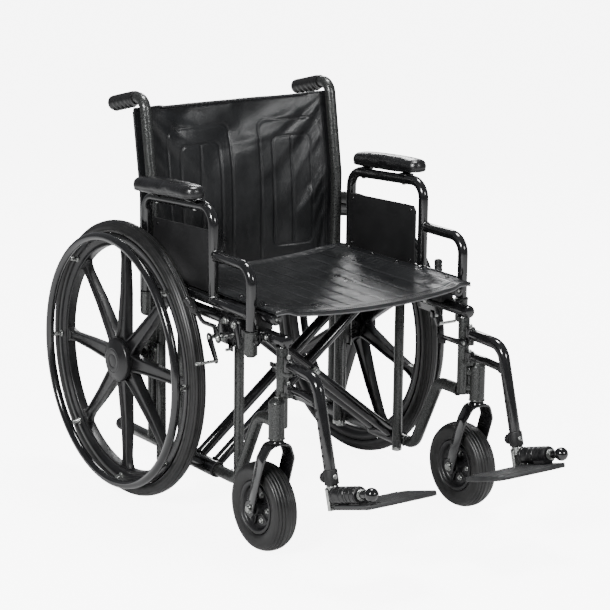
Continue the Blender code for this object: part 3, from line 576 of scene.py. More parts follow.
def buildPosts(label, side, body):
    r, p, c = railSettings, postSettings, casterSettings
    x, y = r["x"], p["frontY"]
    hx, hy = c["x"], c["swivelY"]
    housing = softProfile([(0, 0.0865), (0.0075, 0.0865), (0.0100, 0.0845), (0.0150, 0.0800),
                           (0.0168, 0.0770), (0.0168, 0.0030), (0.0178, 0.0020), (0.0178, 0), (0.0088, 0),
                           (0.0088, 0.0720), (0, 0.0720)], 0.0012, 2)
    away = Vector((hx - x, hy - y, 0)).normalized()
    across = Vector((-away.y, away.x, 0))
    gap = math.hypot(hx - x, hy - y)
    parts = [
        (tubeShape([(x, y, 0.2665), (x, y, 0.4330)], 0.0125, 28), "hammertone"),
        (turnedShape([(0, 0), (0.0105, 0), (0.0122, 0.0015), (0.0122, 0.006), (0, 0.006)], (x, y, 0.2632),
                     (0, 0, 1), 24), "flatPlastic"),
        (turnedShape(housing, (hx, hy, 0.249), (0, 0, 1), 36), "hammertone"),
        (hexHead((hx, hy, 0.3345), (0, 0, 1), 0.0052, 0.0040), "zinc"),
        (weldRing((x, y + 0.0125, 0.270), (0, 1, 0), 0.0118, 0.0018), "hammertone"),
    ]
    for z in (0.277, 0.312):
        parts.append((tubeShape([Vector((x, y, z)), Vector((x, y, z)) + away * gap * 0.85], 0.0092, 20),
                      "hammertone"))
    webCorners = ((0.004, 0.262), (gap - 0.010, 0.262), (gap - 0.010, 0.326), (0.004, 0.326))
    web = [Vector((x, y, z)) + away * d - across * 0.003 for d, z in webCorners]
    parts.append((drawnShape(web, across * 0.006, 0.001), "hammertone"))
    pinY = p["pinY"]
    for z, lift in ((0.3765, 0.0435), (0.3325, 0.0315)):
        lug = [(x - 0.0090, y - 0.006, z), (x + 0.0090, y - 0.006, z)]
        lug += [(x + 0.0085 * math.cos(a), pinY - 0.0085 * math.sin(a), z)
                for a in [math.pi * i / 8 for i in range(9)]]
        parts.append((drawnShape(lug, (0, 0, 0.0088), 0.0008), "hammertone"))
        pin = [(0, 0), (0.0043, 0), (0.0043, lift - 0.003), (0.0030, lift), (0, lift)]
        parts.append((turnedShape(pin, (x, pinY, z + 0.002), (0, 0, 1), 20), "zinc"))
    makePiece(f"{label}FrontPost", parts, body, side, [f"front_post_{label}"])

    tip = [(0, 0), (0.0088, 0), (0.0112, 0.0012), (0.0114, 0.0030), (0.0114, 0.0085), (0.0108, 0.0095),
           (0, 0.0095)]
    for name, y, low in (("Mid", p["midY"], 0.0875), ("Inner", p["rearY"], 0.0915)):
        parts = [(tubeShape([(p["innerX"], y, low + 0.006), (p["innerX"], y, 0.440)], p["radius"], 28),
                  "hammertone"),
                 (turnedShape(tip, (p["innerX"], y, low), (0, 0, 1), 28), "zinc"),
                 (turnedShape([(0, 0), (0.0108, 0), (0.0095, 0.003), (0, 0.0034)], (p["innerX"], y, 0.4396),
                              (0, 0, 1), 24), "flatPlastic")]
        for s in (-1, 1):
            bead = [(r["x"] - 0.0128, y + s * 0.0080, 0.438), (r["x"] - 0.0128, y + s * 0.0080, 0.4400)]
            parts.append((tubeShape(bead, 0.0018, 10), "hammertone"))
        makePiece(f"{label}{name}Post", parts, body, side, [f"{name.lower()}_post_{label}"])

    ax, ay = caneSettings["x"], p["axleY"]
    plate = [(-0.054, 0.2665), (0.016, 0.2665), (0.022, 0.2725), (0.022, 0.3375), (0.016, 0.3435),
             (-0.054, 0.3435)]
    parts = [(tubeShape([(ax, ay, 0.1200), (ax, ay, 0.4342)], p["radius"], 28), "hammertone"),
             (slabShape(plate, 0.2562, 0.2592, 0.0007), "blackGloss"),
             (slabShape(plate, 0.2594, 0.2606, 0.0004), "zinc"),
             (boxShape((0.2420, ay - 0.012, 0.2720), (0.2570, ay + 0.012, 0.3390), 0.0015), "hammertone"),
             (discShape(0.0125, 0.0075, 0.001, (0.2606, 0, axleZ), (1, 0, 0), 32), "zinc"),
             (hexHead((0.2460, 0, axleZ), (1, 0, 0), 0.0115, 0.0102), "zinc"),
             (discShape(0.0066, 0.064, 0, (0.268, 0, axleZ), (1, 0, 0), 24), "zinc")]
    for z in (0.283, 0.327):
        parts.append((washer((0.2604, -0.040, z), (1, 0, 0), 0.0024, 0.0072, 0.0011), "zinc"))
        parts.append((hexHead((0.2612, -0.040, z), (1, 0, 0), 0.0056, 0.0036), "zinc"))
        # a thin near-black disc on the plate stands for each hole: painted shade, not a cut hole
        parts.append((discShape(0.0034, 0.0012, 0, (0.2600, -0.018, z), (1, 0, 0), 16), "paintedHoleShade"))
    makePiece(f"{label}AxlePost", parts, body, side, [f"axle_post_{label}"])


gripSettings = dict(start=0.033, length=0.104, radius=0.0164, fingers=4, bump=0.0062)


def buildCane(label, side, body):
    c, g = caneSettings, gripSettings
    corner = Vector((c["x"], *c["corner"]))
    drop = Matrix.Rotation(-math.radians(c["drop"]), 3, "X")
    path = [(c["x"], -0.0060, 0.1200), (c["x"], *c["lean"]), corner,
            corner + drop @ Vector((0, c["long"], 0))]
    makePiece(f"{label}BackCane", [(tubeShape(path, c["radius"], 32, c["bend"]), "hammertone")], body, side,
              [f"back_cane_{label}"])

    rings = 70
    profile = [(0, g["length"] - 0.004), (0.0128, g["length"] - 0.004), (0.0128, 0.0)]
    for i in range(rings + 1):
        t = i / rings
        r = g["radius"] * (1 - 0.10 * math.exp(-t * 22)) - 0.0012 * math.exp(-(((t - 0.06) / 0.015) ** 2))
        r *= math.sqrt(max(0.0, 1 - max(0.0, (t - 0.955) / 0.045) ** 2.2)) if t > 0.955 else 1
        profile.append((max(r, 0.0 if i == rings else 0.002), t * g["length"]))
    grip = turnedShape(profile, (c["x"], g["start"], 0), (0, 1, 0), 36)
    for vert in grip.verts:
        t = (vert.co.y - g["start"]) / g["length"]
        away = Vector((vert.co.x - c["x"], 0, vert.co.z))
        if away.length < 0.0130 or not 0.12 < t < 0.93:
            continue
        under = max(0.0, -away.z / away.length)
        wave = 0.5 + 0.5 * math.cos((t - 0.2) / 0.68 * g["fingers"] * 2 * math.pi)
        vert.co += away.normalized() * (under ** 1.4) * (g["bump"] * (wave - 0.55))
        if away.z > 0:
            ripple = 0.00035 * math.sin(t * 2 * math.pi * 26)
            vert.co += away.normalized() * ripple * min(1, away.z / away.length * 1.5)
    bmesh.ops.translate(grip, vec=(0, corner.y, corner.z), verts=grip.verts)
    bmesh.ops.rotate(grip, cent=corner, matrix=drop, verts=grip.verts)
    makePiece(f"{label}PushGrip", [(grip, "gripVinyl")], body, side, [f"push_grip_{label}"], sharp=50)


socketSettings = dict(x=0.272, z=0.405, frontY=-0.440, rearY=-0.028)


def buildSockets(label, side, body):
    k = socketSettings
    x = k["x"]
    cup = softProfile([(0, 0), (0.0085, 0), (0.0138, 0.005), (0.0138, 0.0500), (0.0146, 0.0505),
                       (0.0146, 0.054), (0.0119, 0.054), (0.0119, 0.006), (0, 0.006)], 0.0011, 3)
    for name, y in (("front", k["frontY"]), ("rear", k["rearY"])):
        parts = [(turnedShape(cup, (x, y, k["z"]), (0, 0, 1), 36), "hammertone"),
                 (weldRing((x - 0.0130, y, 0.447), (1, 0, 0), 0.0062, 0.0018), "hammertone")]
        if name == "front":
            knob = softProfile([(0, 0), (0.0035, 0), (0.0035, 0.004), (0.0068, 0.0045), (0.0068, 0.0125),
                                (0, 0.0125)], 0.0008)
            parts.append((turnedShape(knob, (x, y - 0.0125, 0.4385), (0, -1, 0), 28), "ballGloss"))
        makePiece(f"{label}{name.title()}ArmSocket", parts, body, side, [f"{name}_arm_socket_{label}"])


print("side frames")
for label, side in sideSigns.items():
    frameBody = f"frame_{label}"
    buildRails(label, side, frameBody)
    buildPosts(label, side, frameBody)
    buildCane(label, side, frameBody)
    buildSockets(label, side, frameBody)


braceSettings = dict(lanesA=(-0.168, -0.236), lanesB=(-0.196, -0.264), radius=0.0125, sleeve=0.0176,
                     bore=0.0133)


def buildBrace(name, side, body, lanes, nutSide):
    b, r = braceSettings, railSettings
    foot, head = Vector((r["x"], 0, r["lowZ"])), Vector((-r["x"], 0, r["seatZ"]))
    along = (head - foot).normalized()
    start, end = max(lanes) + 0.018, min(lanes) - 0.018
    length = start - end
    sleeve = softProfile([(b["bore"], 0), (b["sleeve"], 0), (b["sleeve"], length), (b["bore"], length)],
                         0.0012, 3)
    parts = [(turnedShape(sleeve, (r["x"], start, r["lowZ"]), (0, -1, 0), 40), "blackGloss")]
    for y in (start + 0.0002, end - 0.0042):
        parts.append((ringShape(b["bore"], 0.0168, 0.004, 0.0008, (r["x"], y, r["lowZ"]), (0, 1, 0), 36),
                      "flatPlastic"))
    middle = (foot + head) / 2
    for lane in lanes:
        at = Vector((0, lane, 0))
        parts.append((tubeShape([foot + along * 0.0160 + at, head - along * 0.0128 + at], b["radius"], 28),
                      "blackGloss"))
        parts.append((weldRing(foot + along * 0.0172 + at, along, 0.0124, 0.0024), "blackGloss"))
        parts.append((weldRing(head - along * 0.0132 + at, along, 0.0122, 0.0022), "blackGloss"))
        for s, reach in ((nutSide, 0.0070), (-nutSide, 0.0012)):
            face = middle + Vector((0, lane + s * (b["radius"] - 0.0015), 0))
            boss = [(0, 0), (0.0098, 0), (0.0098, reach + 0.0013), (0, reach + 0.0013)]
            spacer = turnedShape(softProfile(boss, 0.0006, 2), face, (0, s, 0), 28)
            parts.append((spacer, "zinc" if s == nutSide else "flatPlastic"))
    outer = max(lanes) if nutSide > 0 else min(lanes)
    face = middle + Vector((0, outer + nutSide * (b["radius"] + 0.0068), 0))
    parts.append((hexHead(face, (0, nutSide, 0), 0.0090, 0.0062), "zinc"))
    parts.append((turnedShape(softProfile([(0, 0), (0.0045, 0), (0.0045, 0.0095), (0, 0.0095)], 0.0006, 2),
                              face, (0, nutSide, 0), 20), "zinc"))
    makePiece(name, parts, body, side, [f"cross_brace_{name[-1].lower()}"])


def buildSeatRail(label, side, body):
    r = railSettings
    plug = [(0, 0), (0.0125, 0), (0.0136, 0.0010), (0.0136, 0.0040), (0.0118, 0.0070), (0.0060, 0.0082),
            (0.0040, 0.0060), (0, 0.0060)]
    parts = [(tubeShape([(r["x"], -0.470, r["seatZ"]), (r["x"], -0.0430, r["seatZ"])], r["radius"], 32),
              "blackGloss")]
    for y, s in ((-0.4705, -1), (-0.0425, 1)):
        parts.append((turnedShape(plug, (r["x"], y, r["seatZ"]), (0, s, 0), 32), "ballGloss"))
        parts.append((buttonHead((r["x"], y + s * 0.0055, r["seatZ"]), (0, s, 0), 0.0036), "zinc"))
    for y in (-0.435, -0.345, -0.255, -0.165, -0.075):
        parts.append((washer((r["x"], y, 0.5066), (0, 0, 1), 0.0020, 0.0066, 0.0011), "blackGloss"))
        parts.append((buttonHead((r["x"], y, 0.5078), (0, 0, 1), 0.0048), "blackGloss"))
    makePiece(f"{label}SeatRail", parts, body, side, [f"seat_rail_{label}"])


buildBrace("crossBraceA", -1, "brace_a", braceSettings["lanesA"], 1)
buildBrace("crossBraceB", 1, "brace_b", braceSettings["lanesB"], -1)
buildSeatRail("left", 1, "brace_a")
buildSeatRail("right", -1, "brace_b")
print("cross brace and seat rails")


wheelSettings = dict(x=0.306, z=axleZ, leftTurn=16.0, spokes=8, handrimX=0.3485, handrimRadius=0.2731,
                     handrimTube=0.0094)


def spokeShape(w):
    # a grooved spoke pointing up, flared at both ends
    halves = [(0.036, 0.0230, 0.0120), (0.050, 0.0182, 0.0118), (0.070, 0.0160, 0.0112),
              (0.150, 0.0128, 0.0098), (0.222, 0.0100, 0.0086),
              (0.240, 0.0128, 0.0086), (0.252, 0.0205, 0.0086)]
    shape = bmesh.new()
    corners = [(w["x"], h, w["z"] + r) for r, h, _ in halves]
    corners += [(w["x"], -h, w["z"] + r) for r, h, _ in reversed(halves)]
    face = shape.faces.new([shape.verts.new(c) for c in corners])
    made = bmesh.ops.extrude_face_region(shape, geom=[face])["geom"]
    top = [g for g in made if isinstance(g, bmesh.types.BMVert)]
    deep = {round(r, 4): d for r, _, d in halves}
    moved = set(top)
    for vert in shape.verts:
        r = round(vert.co.z - w["z"], 4)
        lean = 0.006 * max(0.0, 1 - (r - 0.036) / 0.10)
        vert.co.x = w["x"] + lean + (deep[r] if vert in moved else -deep[r])
    bmesh.ops.recalc_face_normals(shape, faces=shape.faces)
    flats = [f for f in shape.faces if len(f.verts) > 4]
    bmesh.ops.bevel(shape, geom=[e for f in flats for e in f.edges], offset=0.0016, segments=2, profile=0.5,
                    affect="EDGES", material=-1)
    flats = [f for f in shape.faces if len(f.verts) > 8]
    bmesh.ops.inset_region(shape, faces=flats, thickness=0.0030, depth=0.0, use_even_offset=True)
    bmesh.ops.inset_region(shape, faces=flats, thickness=0.0022, depth=-0.0048, use_even_offset=True)
    bmesh.ops.recalc_face_normals(shape, faces=shape.faces)
    return shape


def buildRearWheel(label, side, body):
    w = wheelSettings
    centre = Vector((w["x"], 0, w["z"]))
    rim = [(0.2495, -0.0100), (0.2515, -0.0112), (0.2545, -0.0092), (0.2590, -0.0092), (0.2640, -0.0150),
           (0.2700, -0.0172), (0.2776, -0.0172), (0.2776, -0.0120), (0.2740, -0.0060), (0.2740, 0.0060),
           (0.2776, 0.0120), (0.2776, 0.0172), (0.2700, 0.0172), (0.2640, 0.0150), (0.2590, 0.0092),
           (0.2545, 0.0092), (0.2515, 0.0112), (0.2495, 0.0100)]
    hub = [(0, 0.0372), (0.0125, 0.0372), (0.0132, 0.0364), (0.0150, 0.0364), (0.0157, 0.0372),
           (0.0238, 0.0376), (0.0246, 0.0368), (0.0262, 0.0368), (0.0270, 0.0372), (0.0292, 0.0366),
           (0.0430, 0.0312), (0.0470, 0.0290), (0.0482, 0.0265), (0.0482, 0.0190), (0.0455, 0.0150),
           (0.0400, 0.0128), (0.0360, 0.0100), (0.0345, 0.0), (0.0345, -0.0180), (0.0310, -0.0190),
           (0.0300, -0.0330), (0.0270, -0.0365), (0.0072, -0.0365), (0.0072, 0.0280), (0, 0.0280)]
    parts = [(turnedShape(softProfile(rim, 0.0012, 2), centre, (1, 0, 0), 120), "magPlastic"),
             (turnedShape(softProfile(hub, 0.0012, 2), centre, (1, 0, 0), 64), "magPlastic")]
    turn = math.radians(w["leftTurn"] if side > 0 else 0.0)
    for i in range(w["spokes"]):
        spoke = spokeShape(w)
        spin = Matrix.Rotation(turn + i * math.tau / w["spokes"], 3, "X")
        bmesh.ops.rotate(spoke, cent=centre, matrix=spin, verts=spoke.verts)
        parts.append((spoke, "magPlastic"))
    for i in range(24):
        rib = boxShape((w["x"] - 0.0300, -0.0011, w["z"] + 0.0290),
                       (w["x"] - 0.0020, 0.0011, w["z"] + 0.0362), 0.0006)
        bmesh.ops.rotate(rib, cent=centre, matrix=Matrix.Rotation(i * math.tau / 24, 3, "X"), verts=rib.verts)
        parts.append((rib, "magPlastic"))
    valve = Matrix.Rotation(turn + 0.36, 3, "X") @ Vector((0, 0, 0.2505))
    stem = [(0, 0), (0.0030, 0), (0.0030, 0.012), (0.0036, 0.013), (0.0036, 0.022), (0.0026, 0.024),
            (0, 0.024)]
    parts.append((turnedShape(stem, centre + valve, -valve, 16), "flatPlastic"))
    makePiece(f"{label}RearWheel", parts, body, side, [f"rear_wheel_{label}"])

    half = [(0.2779, -0.0132), (0.2800, -0.0166), (0.2860, -0.0188), (0.2915, -0.0190), (0.2955, -0.0180),
            (0.2962, -0.0170), (0.2970, -0.0172), (0.3000, -0.0148), (0.3012, -0.0128), (0.3006, -0.0118),
            (0.3020, -0.0112), (0.3036, -0.0086), (0.3040, -0.0070), (0.3030, -0.0062), (0.3030, -0.0050),
            (0.3045, -0.0044), (0.3049, -0.0016), (0.3038, -0.0008)]
    tread = [(r, t) for r, t in half] + [(r, -t) for r, t in reversed(half)]
    makePiece(f"{label}RearTyre", [(turnedShape(tread, centre, (1, 0, 0), 144), "tyreRubber")], body, side,
              [f"rear_tyre_{label}"], sharp=60)

    ring = [(w["handrimRadius"] + w["handrimTube"] * math.cos(a), w["handrimTube"] * math.sin(a))
            for a in [i * math.tau / 20 for i in range(20)]]
    parts = [(turnedShape(ring, (w["handrimX"], 0, w["z"]), (1, 0, 0), 144), "blackGloss")]
    for i in range(w["spokes"]):
        spin = Matrix.Rotation(turn + i * math.tau / w["spokes"], 3, "X")
        low = centre + spin @ Vector((0.0150, 0, 0.2662))
        high = centre + spin @ Vector((w["handrimX"] - w["x"] - 0.006, 0, 0.2702))
        parts.append((tubeShape([low, high], 0.0050, 20), "zinc"))
        cup = softProfile([(0, 0), (0.0078, 0), (0.0066, 0.005), (0, 0.005)], 0.0008)
        seat = high - (high - low).normalized() * 0.0015
        parts.append((turnedShape(cup, seat, high - low, 24), "blackGloss"))
        parts.append((discShape(0.0074, 0.0028, 0.0006, low, high - low, 24), "zinc"))
    makePiece(f"{label}Handrim", parts, body, side, [f"handrim_{label}"], sharp=50)


for label, side in sideSigns.items():
    buildRearWheel(label, side, f"wheel_{label}")
print("rear wheels")


def buildCaster(label, side):
    c = casterSettings
    x, sy, y, z = c["x"], c["swivelY"], c["y"], c["radius"]
    axle = Vector((x, y, z))
    parts = []
    for s in (-1, 1):
        leg = [(x, sy, 0.2405), (x + s * 0.0210, sy, 0.2385), (x + s * 0.0345, sy + 0.0060, 0.2080),
               (x + s * 0.0345, y, z - 0.001)]
        parts.append((barShape(leg, 0.0340, 0.0052, (0, 1, 0), 0.016, 0.0014), "blackGloss"))
        face = axle + Vector((s * 0.0322, 0, 0))
        parts.append((discShape(0.0170, 0.0046, 0.0012, face, (s, 0, 0), 36), "blackGloss"))
        parts.append((washer(face + Vector((s * 0.0046, 0, 0)), (s, 0, 0), 0.004, 0.0092, 0.0012), "zinc"))
        parts.append((hexHead(face + Vector((s * 0.0056, 0, 0)), (s, 0, 0), 0.0076, 0.0052), "zinc"))
        parts.append((ringShape(0.0050, 0.0082, 0.0022, 0.0005, face - Vector((s * 0.0022, 0, 0)), (s, 0, 0),
                                24), "zinc"))
    crown = softProfile([(0, 0), (0.0150, 0), (0.0168, 0.0020), (0.0150, 0.0062), (0.0125, 0.0086),
                         (0.0080, 0.0092), (0.0080, 0.0720), (0, 0.0720)], 0.0008)
    parts.append((turnedShape(crown, (x, sy, 0.2392), (0, 0, 1), 36), "blackGloss"))
    parts.append((tubeShape([axle - Vector((0.034, 0, 0)), axle + Vector((0.034, 0, 0))], 0.0050, 20),
                  "zinc"))
    makePiece(f"{label}CasterFork", parts, f"swivel_{label}", side, [f"caster_fork_{label}"])

    half = [(0.0054, -0.0285), (0.0120, -0.0290), (0.0160, -0.0275), (0.0175, -0.0200), (0.0185, -0.0120),
            (0.0400, -0.0105), (0.0445, -0.0140), (0.0470, -0.0205), (0.0500, -0.0228), (0.0556, -0.0228),
            (0.0556, -0.0120)]
    rim = [(r, t) for r, t in half] + [(r, -t) for r, t in reversed(half)]
    parts = [(turnedShape(softProfile(rim, 0.0010, 2), axle, (1, 0, 0), 56), "magPlastic")]
    for s in (-1, 1):
        for i in range(5):
            spin = Matrix.Rotation(i * math.tau / 5 + 0.35, 3, "X")
            at = axle + spin @ Vector((s * 0.0108, 0, 0.0292))
            parts.append((washer(at, (s, 0, 0), 0.002, 0.0058, 0.0010), "zinc"))
            parts.append((hexHead(at + Vector((s * 0.0008, 0, 0)), (s, 0, 0), 0.0045, 0.0040), "zinc"))
            web = boxShape((x + s * 0.0095, y - 0.0016, z + 0.0180), (x + s * 0.0150, y + 0.0016, z + 0.0470),
                           0.0008)
            bmesh.ops.rotate(web, cent=axle, matrix=Matrix.Rotation((i + 0.5) * math.tau / 5 + 0.35, 3, "X"),
                             verts=web.verts)
            parts.append((web, "magPlastic"))
    makePiece(f"{label}CasterWheel", parts, f"roller_{label}", side, [f"caster_wheel_{label}"])

    half = [(0.0560, -0.0205), (0.0590, -0.0232), (0.0660, -0.0258), (0.0740, -0.0270), (0.0800, -0.0266),
            (0.0850, -0.0246), (0.0868, -0.0230), (0.0872, -0.0216), (0.0868, -0.0206), (0.0893, -0.0192),
            (0.0905, -0.0164), (0.0898, -0.0154), (0.0898, -0.0142), (0.0920, -0.0132), (0.0929, -0.0102),
            (0.0920, -0.0092), (0.0920, -0.0078), (0.0935, -0.0070), (0.0939, -0.0034), (0.0928, -0.0024)]
    tread = [(r, t) for r, t in half] + [(r, -t) for r, t in reversed(half)]
    makePiece(f"{label}CasterTyre", [(turnedShape(tread, axle, (1, 0, 0), 96), "tyreRubber")],
              f"roller_{label}", side, [f"caster_tyre_{label}"], sharp=60)


for label, side in sideSigns.items():
    buildCaster(label, side)
print("casters")


footSettings = dict(x=0.237, y=-0.6875, z=0.174, lean=math.atan(0.292), pivotX=0.2405,
                    pinY=postSettings["pinY"], tube=0.0122, plateInner=0.075, plateOuter=0.2515,
                    plateLow=-0.0285, plateTop=-0.0190, ribs=15)
# footAhead points forwards along the footplate, footUp along the hanger's lower tube
footAhead = Vector((0, -math.cos(footSettings["lean"]), math.sin(footSettings["lean"])))
footUp = Vector((0, math.sin(footSettings["lean"]), math.cos(footSettings["lean"])))
footPlace = Vector((0, footSettings["y"], footSettings["z"]))


def onTube(distance, ahead=0.0, x=footSettings["x"]):
    return footPlace + footUp * distance + footAhead * ahead + Vector((x, 0, 0))


def buildHanger(label, side):
    f, x = footSettings, railSettings["x"]
    reach = f["pinY"] - 0.0075
    top, bottom = onTube(0.228) + Vector((0, 0, 0.004)), onTube(0.0195)
    braceZ = 0.3520
    braceEnd = onTube((braceZ - f["z"]) / math.cos(f["lean"]) - 0.004)
    parts = [(tubeShape([(x, reach, 0.4010), top, bottom], f["tube"], 32, 0.038), "blackGloss"),
             (tubeShape([(x, reach, braceZ), (x, reach - 0.045, braceZ + 0.001), braceEnd], 0.0088, 24, 0.08),
              "blackGloss"),
             (weldRing(braceEnd + Vector((0, 0.0135, 0)), (0, 1, 0), 0.0088, 0.0020), "blackGloss")]
    for z, lengthZ, r in ((0.3868, 0.0280, 0.0102), (0.3418, 0.0200, 0.0094)):
        sleeve = softProfile([(0.0047, 0), (r, 0), (r, lengthZ), (0.0047, lengthZ)], 0.0012, 3)
        parts.append((turnedShape(sleeve, (x, f["pinY"], z), (0, 0, 1), 32), "blackGloss"))
        parts.append((weldRing((x, f["pinY"] - r - 0.0010, z + lengthZ / 2), (0, 1, 0),
                               0.0100 if z > 0.36 else 0.0082, 0.0016), "blackGloss"))
    collar = softProfile([(0.0118, 0), (0.0148, 0), (0.0148, 0.0300), (0.0118, 0.0300)], 0.0012, 3)
    parts.append((turnedShape(collar, onTube(0.0210), footUp, 36), "flatPlastic"))
    for i in range(7):
        hole = onTube(0.060 + 0.0185 * i, 0.0)
        for s in (-1, 1):
            # each adjustment hole is a thin near-black disc on the tube: painted shade, not a cut hole
            parts.append((discShape(0.0033, 0.0006, 0, hole + Vector((s * 0.0119, 0, 0)), (s, 0, 0), 18),
                          "paintedHoleShade"))
            parts.append((turnedShape([(0.0031, 0), (0.0041, 0), (0.0037, 0.0006), (0.0031, 0.0006)],
                                      hole + Vector((s * 0.0118, 0, 0)), (s, 0, 0), 18), "blackGloss"))
    knob = softProfile([(0, 0), (0.0045, 0), (0.0045, 0.005), (0.0100, 0.006), (0.0106, 0.0160),
                        (0.0085, 0.0185), (0, 0.0190)], 0.0010)
    knobAt = onTube(0.036, -0.0095)
    parts.append((turnedShape(knob, knobAt, -footAhead, 36), "flatPlastic"))
    for i in range(16):
        ridge = boxShape((-0.0009, 0.0096, 0.0065), (0.0009, 0.0113, 0.0155), 0.0004)
        aim = Vector((0, 0, 1)).rotation_difference(-footAhead).to_matrix().to_4x4()
        around = Matrix.Rotation(i * math.tau / 16, 4, "Z")
        bmesh.ops.transform(ridge, matrix=Matrix.Translation(knobAt) @ aim @ around, verts=ridge.verts)
        parts.append((ridge, "flatPlastic"))
    parts.append((discShape(0.0050, 0.004, 0.0008, onTube(0.036, 0.0125), footAhead, 24), "zinc"))
    makePiece(f"{label}Hanger", parts, f"hanger_{label}", side, [f"footrest_hanger_{label}"])

    lever = [(-0.5290, 0.3790), (-0.5120, 0.3722), (-0.4960, 0.3742), (-0.4400, 0.3742), (-0.4330, 0.3760),
             (-0.4292, 0.3800), (-0.4330, 0.3846), (-0.4600, 0.3858), (-0.4980, 0.3872), (-0.5130, 0.3915),
             (-0.5270, 0.3905)]
    parts = [(slabShape(lever, 0.2164, 0.2196, 0.0008), "blackGloss"),
             (boxShape((0.2122, -0.4570, 0.3665), (0.2194, -0.4392, 0.3772), 0.0016), "flatPlastic"),
             (boxShape((0.2140, -0.4480, 0.3750), (0.2198, -0.4290, 0.3852), 0.0020), "flatPlastic"),
             (buttonHead((0.2166, -0.5200, 0.3825), (-1, 0, 0), 0.0048), "zinc")]
    makePiece(f"{label}FootrestLatch", parts, f"latch_{label}", side, [f"footrest_latch_{label}"])


def buildFootplate(label, side):
    f = footSettings
    pivot = footPlace + Vector((f["pivotX"], 0, 0))
    inner = discShape(0.0088, 0.112, 0, onTube(0.004), footUp, 28)
    cheek = [(-0.0300, -0.0055), (-0.0300, 0.0045), (0.0130, 0.0045), (0.0160, -0.0020), (0.0160, -0.0055)]
    corners = [onTube(up, ahead, f["x"] - 0.0155) for up, ahead in cheek]
    parts = [(inner, "zinc"),
             (drawnShape(corners, (0.0315, 0, 0), 0.0014, 3), "zinc"),
             (discShape(0.0125, 0.016, 0.0014, onTube(0.003), footUp, 32), "zinc"),
             (discShape(0.0058, 0.124, 0, pivot + footAhead * -0.002, footAhead, 24), "zinc"),
             (ballShape(pivot + footAhead * 0.1360, 0.0142), "ballGloss"),
             (turnedShape(softProfile([(0, 0), (0.0090, 0), (0.0078, 0.018), (0, 0.018)], 0.001),
                          pivot + footAhead * 0.1095, footAhead, 28), "ballGloss")]
    for ahead, r in ((0.1010, 0.0118), (0.1046, 0.0104)):
        parts.append((washer(pivot + footAhead * ahead, footAhead, 0.0056, r, 0.0022), "zinc"))
    parts.append((hexHead(onTube(0.006, -0.0050, f["x"]), -footAhead, 0.0075, 0.0050), "zinc"))
    makePiece(f"{label}FootrestTube", parts, f"extension_{label}", side, [f"footrest_tube_{label}"])

    ring = [(0.0064, 0), (0.0160, 0), (0.0178, 0.002), (0.0178, 0.0080), (0.0166, 0.0095), (0.0166, 0.0150),
            (0.0178, 0.0165), (0.0178, 0.0325), (0.0166, 0.0340), (0.0166, 0.0395), (0.0178, 0.0410),
            (0.0178, 0.0470), (0.0160, 0.0490), (0.0064, 0.0490)]
    makePiece(f"{label}FootplateSleeve",
              [(turnedShape(softProfile(ring, 0.0008, 2), pivot + footAhead * 0.0110, footAhead, 48),
                "magPlastic")],
              f"sleeve_{label}", side, [f"footplate_sleeve_{label}"])

    a, b = f["plateInner"], f["plateOuter"]
    outline = [(b, 0.016), (b, 0.129), (b - 0.004, 0.133), (0.205, 0.1365), (a + 0.020, 0.1350),
               (a + 0.006, 0.1290), (a, 0.1180),
               (a, 0.0250), (a + 0.006, 0.0150), (a + 0.020, 0.0110), (0.205, 0.0105), (b - 0.004, 0.012)]
    corners = [footPlace + Vector((x, 0, 0)) + footAhead * s + footUp * f["plateLow"] for x, s in outline]
    plate = drawnShape(corners, footUp * (f["plateTop"] - f["plateLow"]), 0.0016, 3)
    parts = [(plate, "plateResin")]
    for i in range(f["ribs"]):
        s = 0.0190 + (0.1290 - 0.0190) * i / (f["ribs"] - 1)
        start, end = (a + 0.012, b - 0.006) if 1 < i < f["ribs"] - 2 else (a + 0.022, b - 0.010)
        if s > 0.058:
            end = min(end, f["pivotX"] - 0.022)
        rib = barShape([(start, 0, 0), (end, 0, 0)], 0.0034, 0.0022, (0, 1, 0), soften=0.0008)
        turned = Matrix((Vector((1, 0, 0)), -footAhead, footUp)).transposed().to_4x4()
        place = Matrix.Translation(footPlace + footAhead * s + footUp * (f["plateTop"] + 0.0002))
        bmesh.ops.transform(rib, matrix=place @ turned, verts=rib.verts)
        parts.append((rib, "plateResin"))
    parts.append((ringShape(0.0064, 0.0170, 0.0370, 0.0014, pivot + footAhead * 0.0610, footAhead, 44),
                  "magPlastic"))
    for ahead in (0.0660, 0.0790, 0.0920):
        parts.append((ringShape(0.0150, 0.0179, 0.0026, 0.0006, pivot + footAhead * ahead, footAhead, 44),
                      "magPlastic"))
    neck = [(x, s) for x, s in ((-0.0160, 0.0630), (-0.0160, 0.0970), (0.0060, 0.0970), (0.0060, 0.0630))]
    corners = [pivot + Vector((x, 0, 0)) + footAhead * s + footUp * -0.0215 for x, s in neck]
    parts.append((drawnShape(corners, footUp * 0.0120, 0.0016, 2), "magPlastic"))
    makePiece(f"{label}Footplate", parts, f"plate_{label}", side, [f"footplate_{label}"])


for label, side in sideSigns.items():
    buildHanger(label, side)
    buildFootplate(label, side)
print("footrests")


armSettings = dict(x=socketSettings["x"], radius=0.0110, frontY=socketSettings["frontY"], loopY=-0.297,
                   rearY=socketSettings["rearY"], rearTop=0.6697, frontTop=0.6885, stepZ=0.590, lowZ=0.492,
                   bend=0.036)
padSettings = dict(x=0.289, y=-0.1465, wide=0.055, long=0.243, thick=0.0300, seat=0.6815, slope=0.070,
                   voxel=0.004, pressure=4.0, cap=0.0030, crown=0.0034, groove=0.0010, grooveZ=-0.0062,
                   grooveWide=0.0020)


